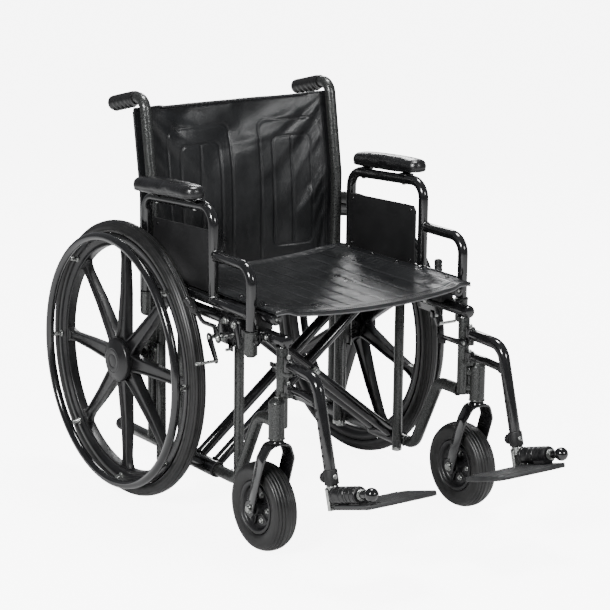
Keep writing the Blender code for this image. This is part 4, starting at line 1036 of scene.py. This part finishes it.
def buildArm(label, side):
    a = armSettings
    x = a["x"]
    loop = [(x, a["rearY"], 0.425), (x, a["rearY"], a["rearTop"]), (x, a["loopY"], a["frontTop"]),
            (x, a["loopY"], a["lowZ"])]
    step = [(x, a["loopY"] - 0.006, a["stepZ"]), (x, a["frontY"], a["stepZ"]), (x, a["frontY"], 0.425)]
    parts = [(tubeShape(loop, a["radius"], 28, a["bend"]), "blackGloss"),
             (tubeShape(step, a["radius"], 28, a["bend"]), "blackGloss"),
             (tubeShape([(x, a["rearY"] - 0.006, a["lowZ"]), (x, a["frontY"] + 0.006, a["lowZ"])], 0.0102,
                        28), "blackGloss"),
             (weldRing((x, a["loopY"] - 0.0110, a["stepZ"]), (0, 1, 0), a["radius"]), "blackGloss"),
             (weldRing((x, a["frontY"] + 0.0110, a["lowZ"]), (0, 1, 0), 0.0100), "blackGloss"),
             (weldRing((x, a["rearY"] - 0.0110, a["lowZ"]), (0, 1, 0), 0.0100), "blackGloss"),
             (weldRing((x, a["loopY"], a["lowZ"] + 0.0105), (0, 0, 1), 0.0108), "blackGloss")]
    for y in (-0.075, -0.225):
        z = a["rearTop"] + (a["frontTop"] - a["rearTop"]) * (a["rearY"] - y) / (a["rearY"] - a["loopY"])
        parts.append((buttonHead((x, y, z - 0.0105), (0, 0, -1), 0.0048), "zinc"))
        parts.append((boxShape((x - 0.0100, y - 0.012, z + 0.0085), (x + 0.0180, y + 0.012, z + 0.0125),
                               0.001), "blackGloss"))
    makePiece(f"{label}ArmFrame", parts, f"armrest_{label}", side, [f"arm_frame_{label}"])

    panel = [(-0.0400, 0.5035), (-0.2870, 0.5035), (-0.2870, 0.6230), (-0.2800, 0.6320), (-0.2600, 0.6320),
             (-0.0400, 0.6215)]
    parts = [(slabShape(panel, 0.2568, 0.2604, 0.0010), "flatPlastic")]
    lip = [Vector((0.2588, y, z)) for y, z in panel]
    for p, q in zip(lip, lip[1:] + lip[:1]):
        parts.append((tubeShape([p, q], 0.0021, 10, soften=0), "flatPlastic"))
    for y, z in ((-0.055, 0.5105), (-0.272, 0.5105), (-0.055, 0.6120), (-0.272, 0.6230)):
        for s, at in ((-1, 0.2570), (1, 0.2602)):
            parts.append((buttonHead((at, y, z), (s, 0, 0), 0.0042, 0.0018), "blackGloss"))
    makePiece(f"{label}SkirtPanel", parts, f"armrest_{label}", side, [f"skirt_panel_{label}"])


def lineGroove(distance, wide):
    # 1 on the line, falling off to 0 beside it
    return math.exp(-((distance / wide) ** 2))


def inflate(piece, settings):
    # pressure from inside rounds the form; each point may move only as far as the cap
    before = np.empty(len(piece.data.vertices) * 3, np.float32)
    piece.data.vertices.foreach_get("co", before)
    cloth = piece.modifiers.new("Cloth", "CLOTH")
    cloth.settings.quality = 5
    cloth.settings.mass = 0.3
    cloth.settings.tension_stiffness = 30
    cloth.settings.compression_stiffness = 30
    cloth.settings.bending_stiffness = 1.5
    cloth.settings.use_pressure = True
    cloth.settings.uniform_pressure_force = settings["pressure"]
    cloth.settings.effector_weights.gravity = 0
    cloth.collision_settings.use_collision = False
    cloth.point_cache.frame_start, cloth.point_cache.frame_end = 1, 20
    for step in range(1, 21):
        bpy.context.scene.frame_set(step)
    graph = bpy.context.evaluated_depsgraph_get()
    moved = piece.evaluated_get(graph)
    after = np.empty_like(before)
    moved.data.vertices.foreach_get("co", after)
    piece.modifiers.remove(cloth)
    bpy.context.scene.frame_set(1)
    shift = (after - before).reshape(-1, 3)
    length = np.linalg.norm(shift, axis=1, keepdims=True)
    shift *= np.minimum(1.0, settings["cap"] / np.maximum(length, 1e-9))
    piece.data.vertices.foreach_set("co", (before.reshape(-1, 3) + shift).ravel())
    piece.data.update()


def remesh(piece, voxel):
    shrink = piece.modifiers.new("Remesh", "REMESH")
    shrink.mode = "VOXEL"
    shrink.voxel_size = voxel
    shrink.use_smooth_shade = True
    even = piece.modifiers.new("Smooth", "SMOOTH")
    even.iterations = 6
    graph = bpy.context.evaluated_depsgraph_get()
    mesh = bpy.data.meshes.new_from_object(piece.evaluated_get(graph))
    piece.modifiers.clear()
    mesh.materials.clear()
    for old in piece.data.materials:
        mesh.materials.append(old)
    piece.data = mesh


def buildPad(label, side):
    p = padSettings
    shape = bmesh.new()
    size = Matrix.Diagonal((p["wide"] - 0.004, p["long"] - 0.004, p["thick"] - 0.004, 1))
    bmesh.ops.create_cube(shape, size=1, matrix=size)
    upright = [e for e in shape.edges if abs(e.verts[0].co.z - e.verts[1].co.z) > 0.01]
    bmesh.ops.bevel(shape, geom=upright, offset=0.0235, segments=10, profile=0.5, affect="EDGES", material=-1)
    top = [e for e in shape.edges if all(v.co.z > 0 for v in e.verts)]
    bmesh.ops.bevel(shape, geom=top, offset=0.0125, segments=6, profile=0.55, affect="EDGES", material=-1)
    low = [e for e in shape.edges if all(v.co.z < -0.011 for v in e.verts)]
    bmesh.ops.bevel(shape, geom=low, offset=0.0030, segments=3, profile=0.5, affect="EDGES", material=-1)
    tilt = Matrix.Rotation(-math.atan(p["slope"]), 4, "X")
    middle = Vector((p["x"], p["y"], p["seat"] - p["slope"] * p["y"] + p["thick"] / 2))
    place = Matrix.Translation(middle) @ tilt
    bmesh.ops.transform(shape, matrix=place, verts=shape.verts)
    pad = makePiece(f"{label}ArmPad", [(shape, "padUrethane")], f"armrest_{label}", side,
                    [f"arm_pad_{label}"])
    remesh(pad, p["voxel"])
    inflate(pad, p)
    # a moulded parting groove runs round the pad above its base
    back = (Matrix.Translation((0, axleY, 0)) @ Matrix.Diagonal((side, 1, 1, 1)) @ place).inverted()
    finer = pad.modifiers.new("Subdivision", "SUBSURF")
    finer.levels = finer.render_levels = 1
    graph = bpy.context.evaluated_depsgraph_get()
    mesh = bpy.data.meshes.new_from_object(pad.evaluated_get(graph))
    pad.modifiers.remove(finer)
    pad.data = mesh
    for vert in mesh.vertices:
        local = back @ vert.co
        near = lineGroove(local.z - p["grooveZ"], p["grooveWide"])
        vert.co -= vert.normal * p["groove"] * near
        crown = max(0.0, 1 - (local.x / 0.027) ** 2) * max(0.0, 1 - (local.y / 0.122) ** 6)
        if local.z > 0.006:
            vert.co.z += p["crown"] * crown
    for face in mesh.polygons:
        face.use_smooth = True


for label, side in sideSigns.items():
    buildArm(label, side)
    buildPad(label, side)
print("armrests")


lockSettings = dict(y=-0.336, z=0.423, shoeY=-0.309, shoeZ=0.420)


def buildLock(label, side, body):
    k = lockSettings
    y, z, sy, sz = k["y"], k["z"], k["shoeY"], k["shoeZ"]
    cheek = [(-0.386, 0.410), (-0.386, 0.424), (-0.374, 0.468), (-0.366, 0.4715), (-0.320, 0.4715),
             (-0.314, 0.467), (-0.297, 0.430), (-0.297, 0.412), (-0.303, 0.408), (-0.380, 0.407)]
    parts = [(boxShape((0.2470, -0.384, 0.4300), (0.2624, -0.336, 0.4660), 0.0015), "blackGloss"),
             (slabShape(cheek, 0.2620, 0.2654, 0.0008), "blackGloss"),
             (boxShape((0.2450, -0.383, 0.4600), (0.2640, -0.341, 0.4635), 0.0008), "zinc"),
             (discShape(0.0072, 0.0178, 0.0008, (0.2645, y, z), (1, 0, 0), 28), "zinc"),
             (discShape(0.0052, 0.0226, 0.0008, (0.2645, sy, sz), (1, 0, 0), 24), "zinc"),
             (tubeShape([(0.2645, -0.352, 0.4000), (0.2760, -0.352, 0.4000)], 0.0034, 18), "zinc"),
             (slabShape([(-0.360, 0.396), (-0.344, 0.396), (-0.344, 0.414), (-0.360, 0.414)], 0.2620, 0.2654,
                        0.0008), "blackGloss")]
    for by, bz in ((-0.364, 0.4545), (-0.330, 0.4560)):
        parts.append((washer((0.2652, by, bz), (1, 0, 0), 0.0030, 0.0082, 0.0012), "zinc"))
        parts.append((hexHead((0.2662, by, bz), (1, 0, 0), 0.0068, 0.0046), "zinc"))
    for i in range(5):
        parts.append((boxShape((0.2475, -0.3345 + i * 0.0046, 0.4665), (0.2625, -0.3318 + i * 0.0046, 0.4735),
                               0.0006), "flatPlastic"))
    makePiece(f"{label}WheelLockMount", parts, body, side, [f"wheel_lock_mount_{label}"])

    strap = [(y - 0.0095, z - 0.0050), (y - 0.0060, z - 0.0098), (y, z - 0.0115), (y + 0.0070, z - 0.0088),
             (y + 0.0100, z - 0.0030),
             (y + 0.0170, z + 0.0120), (y + 0.0210, z + 0.0210), (y + 0.0185, z + 0.0260),
             (y + 0.0110, z + 0.0275), (y - 0.0010, z + 0.0150)]
    parts = [(slabShape(strap, 0.2830, 0.2866, 0.0008), "blackGloss"),
             (tubeShape([(0.2848, y + 0.014, z + 0.022), (0.3060, y + 0.024, z + 0.032),
                         (0.3270, y + 0.050, z + 0.076)], 0.0047, 20, 0.012), "blackGloss"),
             (tubeShape([(0.3160, y + 0.0355, z + 0.0510), (0.3290, y + 0.0535, z + 0.0820)], 0.0088, 28,
                        soften=0.003), "gripVinyl"),
             (washer((0.2864, y, z), (1, 0, 0), 0.003, 0.0080, 0.0010), "zinc"),
             (buttonHead((0.2872, y, z), (1, 0, 0), 0.0060), "zinc")]
    for i in range(4):
        at = Vector((0.3178, y + 0.0380, z + 0.0555)).lerp(Vector((0.3275, y + 0.0510, z + 0.0775)), i / 3)
        bead = softProfile([(0.0080, -0.001), (0.0094, -0.001), (0.0094, 0.001), (0.0080, 0.001)], 0.0005, 2)
        parts.append((turnedShape(bead, at, (0.0130, 0.0180, 0.0310), 28), "gripVinyl"))
    makePiece(f"{label}WheelLockLever", parts, f"lock_lever_{label}", side, [f"wheel_lock_lever_{label}"])

    pegY, pegZ = -0.337, 0.375
    arm = [(sy - 0.0085, sz + 0.0050), (sy - 0.0030, sz + 0.0090), (sy + 0.0050, sz + 0.0085),
           (sy + 0.0088, sz + 0.0020), (sy + 0.0070, sz - 0.0070),
           (pegY + 0.0062, pegZ - 0.0030), (pegY + 0.0010, pegZ - 0.0068), (pegY - 0.0050, pegZ - 0.0040),
           (pegY - 0.0060, pegZ + 0.0035)]
    parts = [(slabShape(arm, 0.2876, 0.2912, 0.0008), "blackGloss"),
             (turnedShape(softProfile([(0, 0), (0.0034, 0), (0.0034, 0.0480), (0.0026, 0.0500), (0, 0.0500)],
                                      0.0006),
                          (0.2895, pegY, pegZ), (1, 0, 0), 28), "zinc"),
             (buttonHead((0.2910, sy, sz), (1, 0, 0), 0.0054), "zinc")]
    makePiece(f"{label}WheelLockShoe", parts, f"lock_shoe_{label}", side, [f"wheel_lock_shoe_{label}"])


for label, side in sideSigns.items():
    buildLock(label, side, f"frame_{label}")
print("wheel locks")


seatSettings = dict(width=0.500, front=-0.498, back=-0.030, railTop=0.5070, railHold=0.216, sag=0.0145,
                    spacing=0.005, slack=0.014, cap=0.0055, thick=0.0038, gravity=0.5,
                    channels=(-0.171, -0.128, -0.085, -0.043, 0.0, 0.043, 0.085, 0.128, 0.171),
                    channelDepth=0.0016, channelWide=0.0030)
backSettings = dict(width=0.524, low=0.408, top=0.846, hold=0.229, bow=0.020, spacing=0.005, slack=0.004,
                    cap=0.0030, thick=0.0040, gravity=0.1, foldDepth=0.0046, foldPitch=0.115, foldLean=38.0,
                    lineDepth=0.0017, lineWide=0.0021, outer=((-0.180, -0.011), (0.064, 0.219)),
                    outerTop=0.792, inner=((-0.146, -0.040), (0.097, 0.194)), innerTop=0.754, lineLow=0.440,
                    innerLow=0.507, corner=0.020)


def sheetGrid(wide, long, spacing):
    shape = bmesh.new()
    bmesh.ops.create_grid(shape, x_segments=round(wide / spacing), y_segments=round(long / spacing), size=0.5)
    bmesh.ops.scale(shape, vec=(wide, long, 1), verts=shape.verts)
    return shape


def settle(piece, held, settings):
    # the sheet has a little spare cloth, so it wrinkles and hangs between its held edges
    before = np.empty(len(piece.data.vertices) * 3, np.float32)
    piece.data.vertices.foreach_get("co", before)
    pins = piece.vertex_groups.new(name="held")
    pins.add([v.index for v in piece.data.vertices if held(v.co)], 1.0, "REPLACE")
    cloth = piece.modifiers.new("Cloth", "CLOTH")
    cloth.settings.quality = 6
    cloth.settings.mass = 0.25
    cloth.settings.tension_stiffness = 25
    cloth.settings.compression_stiffness = 25
    cloth.settings.shear_stiffness = 12
    cloth.settings.bending_stiffness = 2.0
    cloth.settings.vertex_group_mass = "held"
    cloth.settings.shrink_min = -settings["slack"]
    cloth.settings.effector_weights.gravity = settings["gravity"]
    cloth.collision_settings.use_collision = False
    cloth.point_cache.frame_start, cloth.point_cache.frame_end = 1, 24
    for step in range(1, 25):
        bpy.context.scene.frame_set(step)
    moved = piece.evaluated_get(bpy.context.evaluated_depsgraph_get())
    after = np.empty_like(before)
    moved.data.vertices.foreach_get("co", after)
    piece.modifiers.remove(cloth)
    piece.vertex_groups.clear()
    bpy.context.scene.frame_set(1)
    shift = (after - before).reshape(-1, 3)
    length = np.linalg.norm(shift, axis=1, keepdims=True)
    shift *= np.minimum(1.0, settings["cap"] / np.maximum(length, 1e-9))
    piece.data.vertices.foreach_set("co", (before.reshape(-1, 3) + shift).ravel())
    piece.data.update()


def baked(piece, *modifiers):
    for kind, values in modifiers:
        modifier = piece.modifiers.new(kind.title(), kind)
        for key, value in values.items():
            setattr(modifier, key, value)
    mesh = bpy.data.meshes.new_from_object(piece.evaluated_get(bpy.context.evaluated_depsgraph_get()))
    piece.modifiers.clear()
    piece.data = mesh


def addShapes(piece, parts):
    # joins further shapes, given in the axle's frame, to a finished piece
    whole = bmesh.new()
    whole.from_mesh(piece.data)
    for shape, finish in parts:
        if finishes[finish].name not in piece.data.materials:
            piece.data.materials.append(finishes[finish])
        index = list(piece.data.materials).index(finishes[finish])
        bmesh.ops.translate(shape, vec=(0, axleY, 0), verts=shape.verts)
        for face in shape.faces:
            face.material_index = index
            face.smooth = True
        part = bpy.data.meshes.new("part")
        shape.to_mesh(part)
        shape.free()
        whole.from_mesh(part)
        bpy.data.meshes.remove(part)
    whole.to_mesh(piece.data)
    whole.free()


def stitchRow(points, normals, pitch=0.0050, long=0.0034, size=0.00055):
    row = bmesh.new()
    travelled, wanted = 0.0, pitch / 2
    for a, b, up in zip(points, points[1:], normals):
        reach = (b - a).length
        while reach and wanted <= travelled + reach:
            at = a.lerp(b, (wanted - travelled) / reach)
            along = (b - a).normalized()
            side = up.cross(along).normalized()
            turned = Matrix((along, side, along.cross(side))).transposed().to_4x4()
            stitch = Matrix.Translation(at) @ turned @ Matrix.Diagonal((long, size * 2, size * 1.6, 1))
            bmesh.ops.create_cube(row, size=1, matrix=stitch)
            wanted += pitch
        travelled += reach
    return row


def roundedFrame(x, z, left, right, top, low, corner, closed):
    # distance from a rounded frame, which may be open at its lower end
    dx = abs(x - (left + right) / 2) - (right - left) / 2 + corner
    dz = max(z - top, low - z if closed else -1.0) + corner
    if dx > 0 and dz > 0:
        return abs(math.hypot(dx, dz) - corner)
    if dz > dx:
        return abs(dz - corner)
    return abs(dx - corner) if closed or z > low else math.hypot(dx - corner, z - low)


def buildSeat():
    s = seatSettings
    grid = sheetGrid(s["width"], s["back"] - s["front"], s["spacing"])
    middle = (s["front"] + s["back"]) / 2
    for vert in grid.verts:
        x = vert.co.x
        slump = max(0.0, 1 - (x / s["railHold"]) ** 2)
        curl = max(0.0, (abs(x) - 0.240) / 0.010)
        vert.co = Vector((x, vert.co.y + middle, s["railTop"] - s["sag"] * slump - 0.0022 * curl ** 2))
    seat = makePiece("seatSling", [(grid, "upholstery")], None, 1, ["seat_sling"], sharp=80)
    settle(seat, lambda p: abs(p.x) > s["railHold"] or p.y > s["back"] + axleY - 0.004, s)
    baked(seat, ("SUBSURF", dict(levels=1, render_levels=1)))
    for vert in seat.data.vertices:
        x, y = vert.co.x, vert.co.y - axleY
        fade = min(1.0, max(0.0, (y - s["front"] - 0.030) / 0.015))
        fade *= min(1.0, max(0.0, (s["back"] - 0.020 - y) / 0.015))
        groove = sum(lineGroove(x - line - 0.0012 * math.sin(y * 31 + line * 40), s["channelWide"])
                     for line in s["channels"])
        wave = noise.noise(Vector((x * 9, y * 26, 1.3))) * 0.0013
        wave += noise.noise(Vector((x * 34 + 5, y * 14, 7.0))) * 0.0007
        inside = max(0.0, min(1.0, (s["railHold"] - abs(x)) / 0.03))
        vert.co.z += -s["channelDepth"] * groove * fade * inside + wave * inside * min(1.0, fade + 0.2)
        across = min(abs(y - s["front"] - 0.027), abs(y - s["back"] + 0.018))
        vert.co.z -= 0.0011 * lineGroove(across, 0.0022)
    baked(seat, ("SOLIDIFY", dict(thickness=s["thick"], offset=-1.0)))
    tree = surfaceOf(seat)

    def onSeat(x, y, lift=0.0):
        hit, normal = tree.ray_cast(Vector((x, y + axleY, 0.6)), Vector((0, 0, -1)))[:2]
        hit, normal = (hit, normal) if hit else (Vector((x, y + axleY, s["railTop"])), Vector((0, 0, 1)))
        return hit - Vector((0, axleY, 0)) + normal * lift, normal

    xs = [s["width"] / 2 * (i / 50 - 1) * 0.992 for i in range(101)]
    front = [onSeat(x, s["front"] + 0.0022)[0] for x in xs]
    parts = [(tubeShape([p + Vector((0, 0.0008, -0.0016)) for p in front], 0.0042, 14, bend=0, soften=0),
              "upholstery"),
             (tubeShape([p + Vector((0, -0.0022, -0.0056)) for p in front], 0.0016, 10, bend=0, soften=0),
              "piping")]
    for inset in (0.0105, 0.0195):
        row = [onSeat(x, s["front"] + inset, 0.0002) for x in xs]
        parts.append((stitchRow([p for p, _ in row], [n for _, n in row]), "thread"))
    ys = [s["front"] + 0.006 + (s["back"] - s["front"] - 0.012) * i / 60 for i in range(61)]
    for side in (-1, 1):
        row = [onSeat(side * 0.2215, y, 0.0002) for y in ys]
        parts.append((stitchRow([p for p, _ in row], [n for _, n in row]), "thread"))
        edge = [onSeat(side * 0.2478, y)[0] + Vector((side * 0.0004, 0, -0.0016)) for y in ys]
        parts.append((tubeShape(edge, 0.0026, 12, bend=0, soften=0), "upholstery"))
    addShapes(seat, parts)
    seat.data.set_sharp_from_angle(angle=math.radians(70))
    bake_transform(seat)


def surfaceOf(piece):
    whole = bmesh.new()
    whole.from_mesh(piece.data)
    tree = BVHTree.FromBMesh(whole)
    whole.free()
    return tree


def backPlace(z, soften=0.006):
    # how far back the canes' rear surface is at this height
    c = caneSettings
    (bendY, bendZ), (topY, topZ) = c["lean"], c["corner"]
    over = soften * math.log(1 + math.exp((z - bendZ) / soften))
    low = 0.002 * max(0.0, bendZ - z) / (bendZ - 0.120)
    return bendY + low + over * (topY - bendY) / (topZ - bendZ) + c["radius"] + 0.0011


def buildBack():
    b = backSettings
    grid = sheetGrid(b["width"], b["top"] - b["low"], b["spacing"])
    middle = (b["low"] + b["top"]) / 2
    for vert in grid.verts:
        x, z = vert.co.x, vert.co.y + middle
        bow = b["bow"] * max(0.0, 1 - (x / b["hold"]) ** 2)
        vert.co = Vector((x, backPlace(z, 0.006 + bow * 1.6) + bow + 0.0044, z))
    bmesh.ops.reverse_faces(grid, faces=grid.faces)
    back = makePiece("backSling", [(grid, "upholstery")], "frame_right", 1, ["back_sling"], sharp=80)
    facing = sum(f.normal.y for f in back.data.polygons)
    if facing > 0:
        back.data.flip_normals()
    settle(back, lambda p: abs(p.x) > b["hold"], b)
    baked(back, ("SUBSURF", dict(levels=1, render_levels=1)))
    lean = math.radians(b["foldLean"])
    for vert in back.data.vertices:
        x, z = vert.co.x, vert.co.z
        inside = max(0.0, min(1.0, (b["hold"] - abs(x)) / 0.05))
        groove = 0.0
        for left, right in b["outer"]:
            groove += lineGroove(roundedFrame(x, z, left, right, b["outerTop"], b["lineLow"], b["corner"],
                                              False), b["lineWide"])
        for left, right in b["inner"]:
            groove += lineGroove(roundedFrame(x, z, left, right, b["innerTop"], b["innerLow"],
                                              b["corner"] * 0.7, True), b["lineWide"])
            if b["innerLow"] < z < b["innerTop"]:
                groove += lineGroove(x - (left + right) / 2, b["lineWide"])
        high = math.exp(-(((z - 0.770) / 0.075) ** 2)) * min(1.0, max(0.0, (0.205 - abs(x + 0.015)) / 0.09))
        phase = (-math.sin(lean) * x + math.cos(lean) * z) / b["foldPitch"]
        phase += 0.35 * noise.noise(Vector((x * 7, z * 7, 2.0)))
        fold = b["foldDepth"] * high * math.sin(math.tau * phase)
        fold *= 0.75 + 0.5 * noise.noise(Vector((x * 5 + 9, z * 5, 4.0)))
        soft = 0.0016 * noise.noise(Vector((x * 11, z * 6 + 3, 5.0)))
        soft += 0.0009 * noise.noise(Vector((x * 30, z * 9, 11.0)))
        hem = lineGroove(abs(z - b["low"] - 0.020), 0.0022)
        vert.co.y += (b["lineDepth"] * min(1.0, groove) + fold + soft) * inside + 0.0011 * hem
    baked(back, ("SOLIDIFY", dict(thickness=b["thick"], offset=-1.0)))
    tree = surfaceOf(back)

    def onBack(x, z, lift=0.0, front=True):
        way = 1 if front else -1
        hit, normal = tree.ray_cast(Vector((x, axleY - way * 0.4, z)), Vector((0, way, 0)))[:2]
        hit, normal = (hit, normal) if hit else (Vector((x, axleY + backPlace(z), z)), Vector((0, -way, 0)))
        return hit - Vector((0, axleY, 0)) + normal * lift, normal

    xs = [b["width"] / 2 * (i / 50 - 1) * 0.994 for i in range(101)]
    parts = []
    for z, shift in ((b["top"] - 0.0015, 0.0005), (b["low"] + 0.0015, -0.0005)):
        line = [onBack(x, z)[0] + Vector((0, 0.0019, shift)) for x in xs]
        parts.append((tubeShape(line, 0.0032, 14, bend=0, soften=0), "upholstery"))
    for z in (b["top"] - 0.0085, b["low"] + 0.0130):
        row = [onBack(x, z, 0.0002) for x in xs]
        parts.append((stitchRow([p for p, _ in row], [n for _, n in row]), "thread"))
    zs = [b["low"] + 0.006 + (b["top"] - b["low"] - 0.012) * i / 60 for i in range(61)]
    for side in (-1, 1):
        for x in (0.2250, 0.2310):
            for front in (True, False):
                row = [onBack(side * x, z, 0.0002, front) for z in zs]
                parts.append((stitchRow([p for p, _ in row], [n for _, n in row]), "thread"))
        edge = [onBack(side * (b["width"] / 2 - 0.0012), z)[0] + Vector((side * 0.0006, 0.0020, 0))
                for z in zs]
        parts.append((tubeShape(edge, 0.0030, 12, bend=0, soften=0), "upholstery"))
        for z in (0.455, 0.545, 0.635, 0.725, 0.805):
            at, normal = onBack(side * caneSettings["x"], z, 0.0, False)
            parts.append((washer(at, normal, 0.0020, 0.0068, 0.0011), "blackGloss"))
            parts.append((buttonHead(at + normal * 0.0010, normal, 0.0048), "blackGloss"))
    addShapes(back, parts)
    back.data.set_sharp_from_angle(angle=math.radians(70))
    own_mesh(back)


buildSeat()
buildBack()
print("upholstery")


cameraSettings = dict(place=(-2.7326, -4.1701 + axleY, 1.6274), azimuth=-34.8052, elevation=13.9825,
                      roll=0.7067, lens=134.49, sensor=36.0)
lightSettings = {
    "key": dict(place=(-3.1, -1.7, 2.6), size=0.9, power=210),
    "front": dict(place=(1.2, -4.2, 2.4), size=1.0, power=75),
    "top": dict(place=(0.5, 0.3, 3.4), size=1.0, power=105),
    "rim": dict(place=(1.9, 2.7, 2.0), size=0.9, power=32),
}


def buildStudio():
    c = cameraSettings
    camera = bpy.data.cameras.new("camera")
    camera.sensor_width, camera.lens = c["sensor"], c["lens"]
    camera.clip_end = 60
    holder = bpy.data.objects.new("camera", camera)
    az, el, roll = (math.radians(c[k]) for k in ("azimuth", "elevation", "roll"))
    back = Vector((math.sin(az) * math.cos(el), -math.cos(az) * math.cos(el), math.sin(el)))
    right = Vector((math.cos(az), math.sin(az), 0))
    up = back.cross(right)
    right, up = right * math.cos(roll) + up * math.sin(roll), up * math.cos(roll) - right * math.sin(roll)
    holder.matrix_world = Matrix.Translation(c["place"]) @ Matrix((right, up, back)).transposed().to_4x4()
    bpy.context.scene.collection.objects.link(holder)
    bpy.context.scene.camera = holder

    for name, l in lightSettings.items():
        lamp = bpy.data.lights.new(name, "AREA")
        lamp.shape, lamp.size, lamp.energy = "DISK", l["size"], l["power"]
        made = bpy.data.objects.new(name, lamp)
        place = Vector(l["place"])
        aim = (place - Vector((0, 0, 0.4))).to_track_quat("Z", "Y").to_matrix().to_4x4()
        made.matrix_world = Matrix.Translation(place) @ aim
        bpy.context.scene.collection.objects.link(made)

    world = bpy.data.worlds.new("studio")
    bpy.context.scene.world = world
    world.use_nodes = True
    tree = world.node_tree
    tree.nodes.clear()
    out = addNode(tree, "ShaderNodeOutputWorld")
    seen, lit = addNode(tree, "ShaderNodeBackground"), addNode(tree, "ShaderNodeBackground")
    seen.inputs["Color"].default_value = (1.0, 1.0, 1.0, 1)
    seen.inputs["Strength"].default_value = 1.0
    lit.inputs["Color"].default_value = (0.80, 0.82, 0.86, 1)
    lit.inputs["Strength"].default_value = 0.26
    path, mix = addNode(tree, "ShaderNodeLightPath"), addNode(tree, "ShaderNodeMixShader")
    tree.links.new(path.outputs["Is Camera Ray"], mix.inputs["Fac"])
    tree.links.new(lit.outputs["Background"], mix.inputs[1])
    tree.links.new(seen.outputs["Background"], mix.inputs[2])
    tree.links.new(mix.outputs["Shader"], out.inputs["Surface"])

    shape = bmesh.new()
    bmesh.ops.create_grid(shape, x_segments=2, y_segments=2, size=14)
    bmesh.ops.translate(shape, vec=(0, 0, -0.0006), verts=shape.verts)
    mesh = bpy.data.meshes.new("floor")
    shape.to_mesh(mesh)
    shape.free()
    floor = bpy.data.objects.new("floor", mesh)
    bpy.context.scene.collection.objects.link(floor)
    paper = bpy.data.materials.new("floorPaper")
    paper.use_nodes = True
    shader = paper.node_tree.nodes["Principled BSDF"]
    shader.inputs["Base Color"].default_value = (0.80, 0.80, 0.80, 1)
    shader.inputs["Roughness"].default_value = 0.9
    glow = addNode(paper.node_tree, "ShaderNodeEmission")
    glow.inputs["Strength"].default_value = 7.0
    kinds = ("ShaderNodeLightPath", "ShaderNodeAddShader", "ShaderNodeMixShader")
    ray, both, pick = (addNode(paper.node_tree, kind) for kind in kinds)
    join = paper.node_tree.links.new
    join(shader.outputs["BSDF"], both.inputs[0])
    join(glow.outputs["Emission"], both.inputs[1])
    join(ray.outputs["Is Camera Ray"], pick.inputs["Fac"])
    join(shader.outputs["BSDF"], pick.inputs[1])
    join(both.outputs["Shader"], pick.inputs[2])
    join(pick.outputs["Shader"], paper.node_tree.nodes["Material Output"].inputs["Surface"])
    mesh.materials.append(paper)


buildStudio()
print("studio")
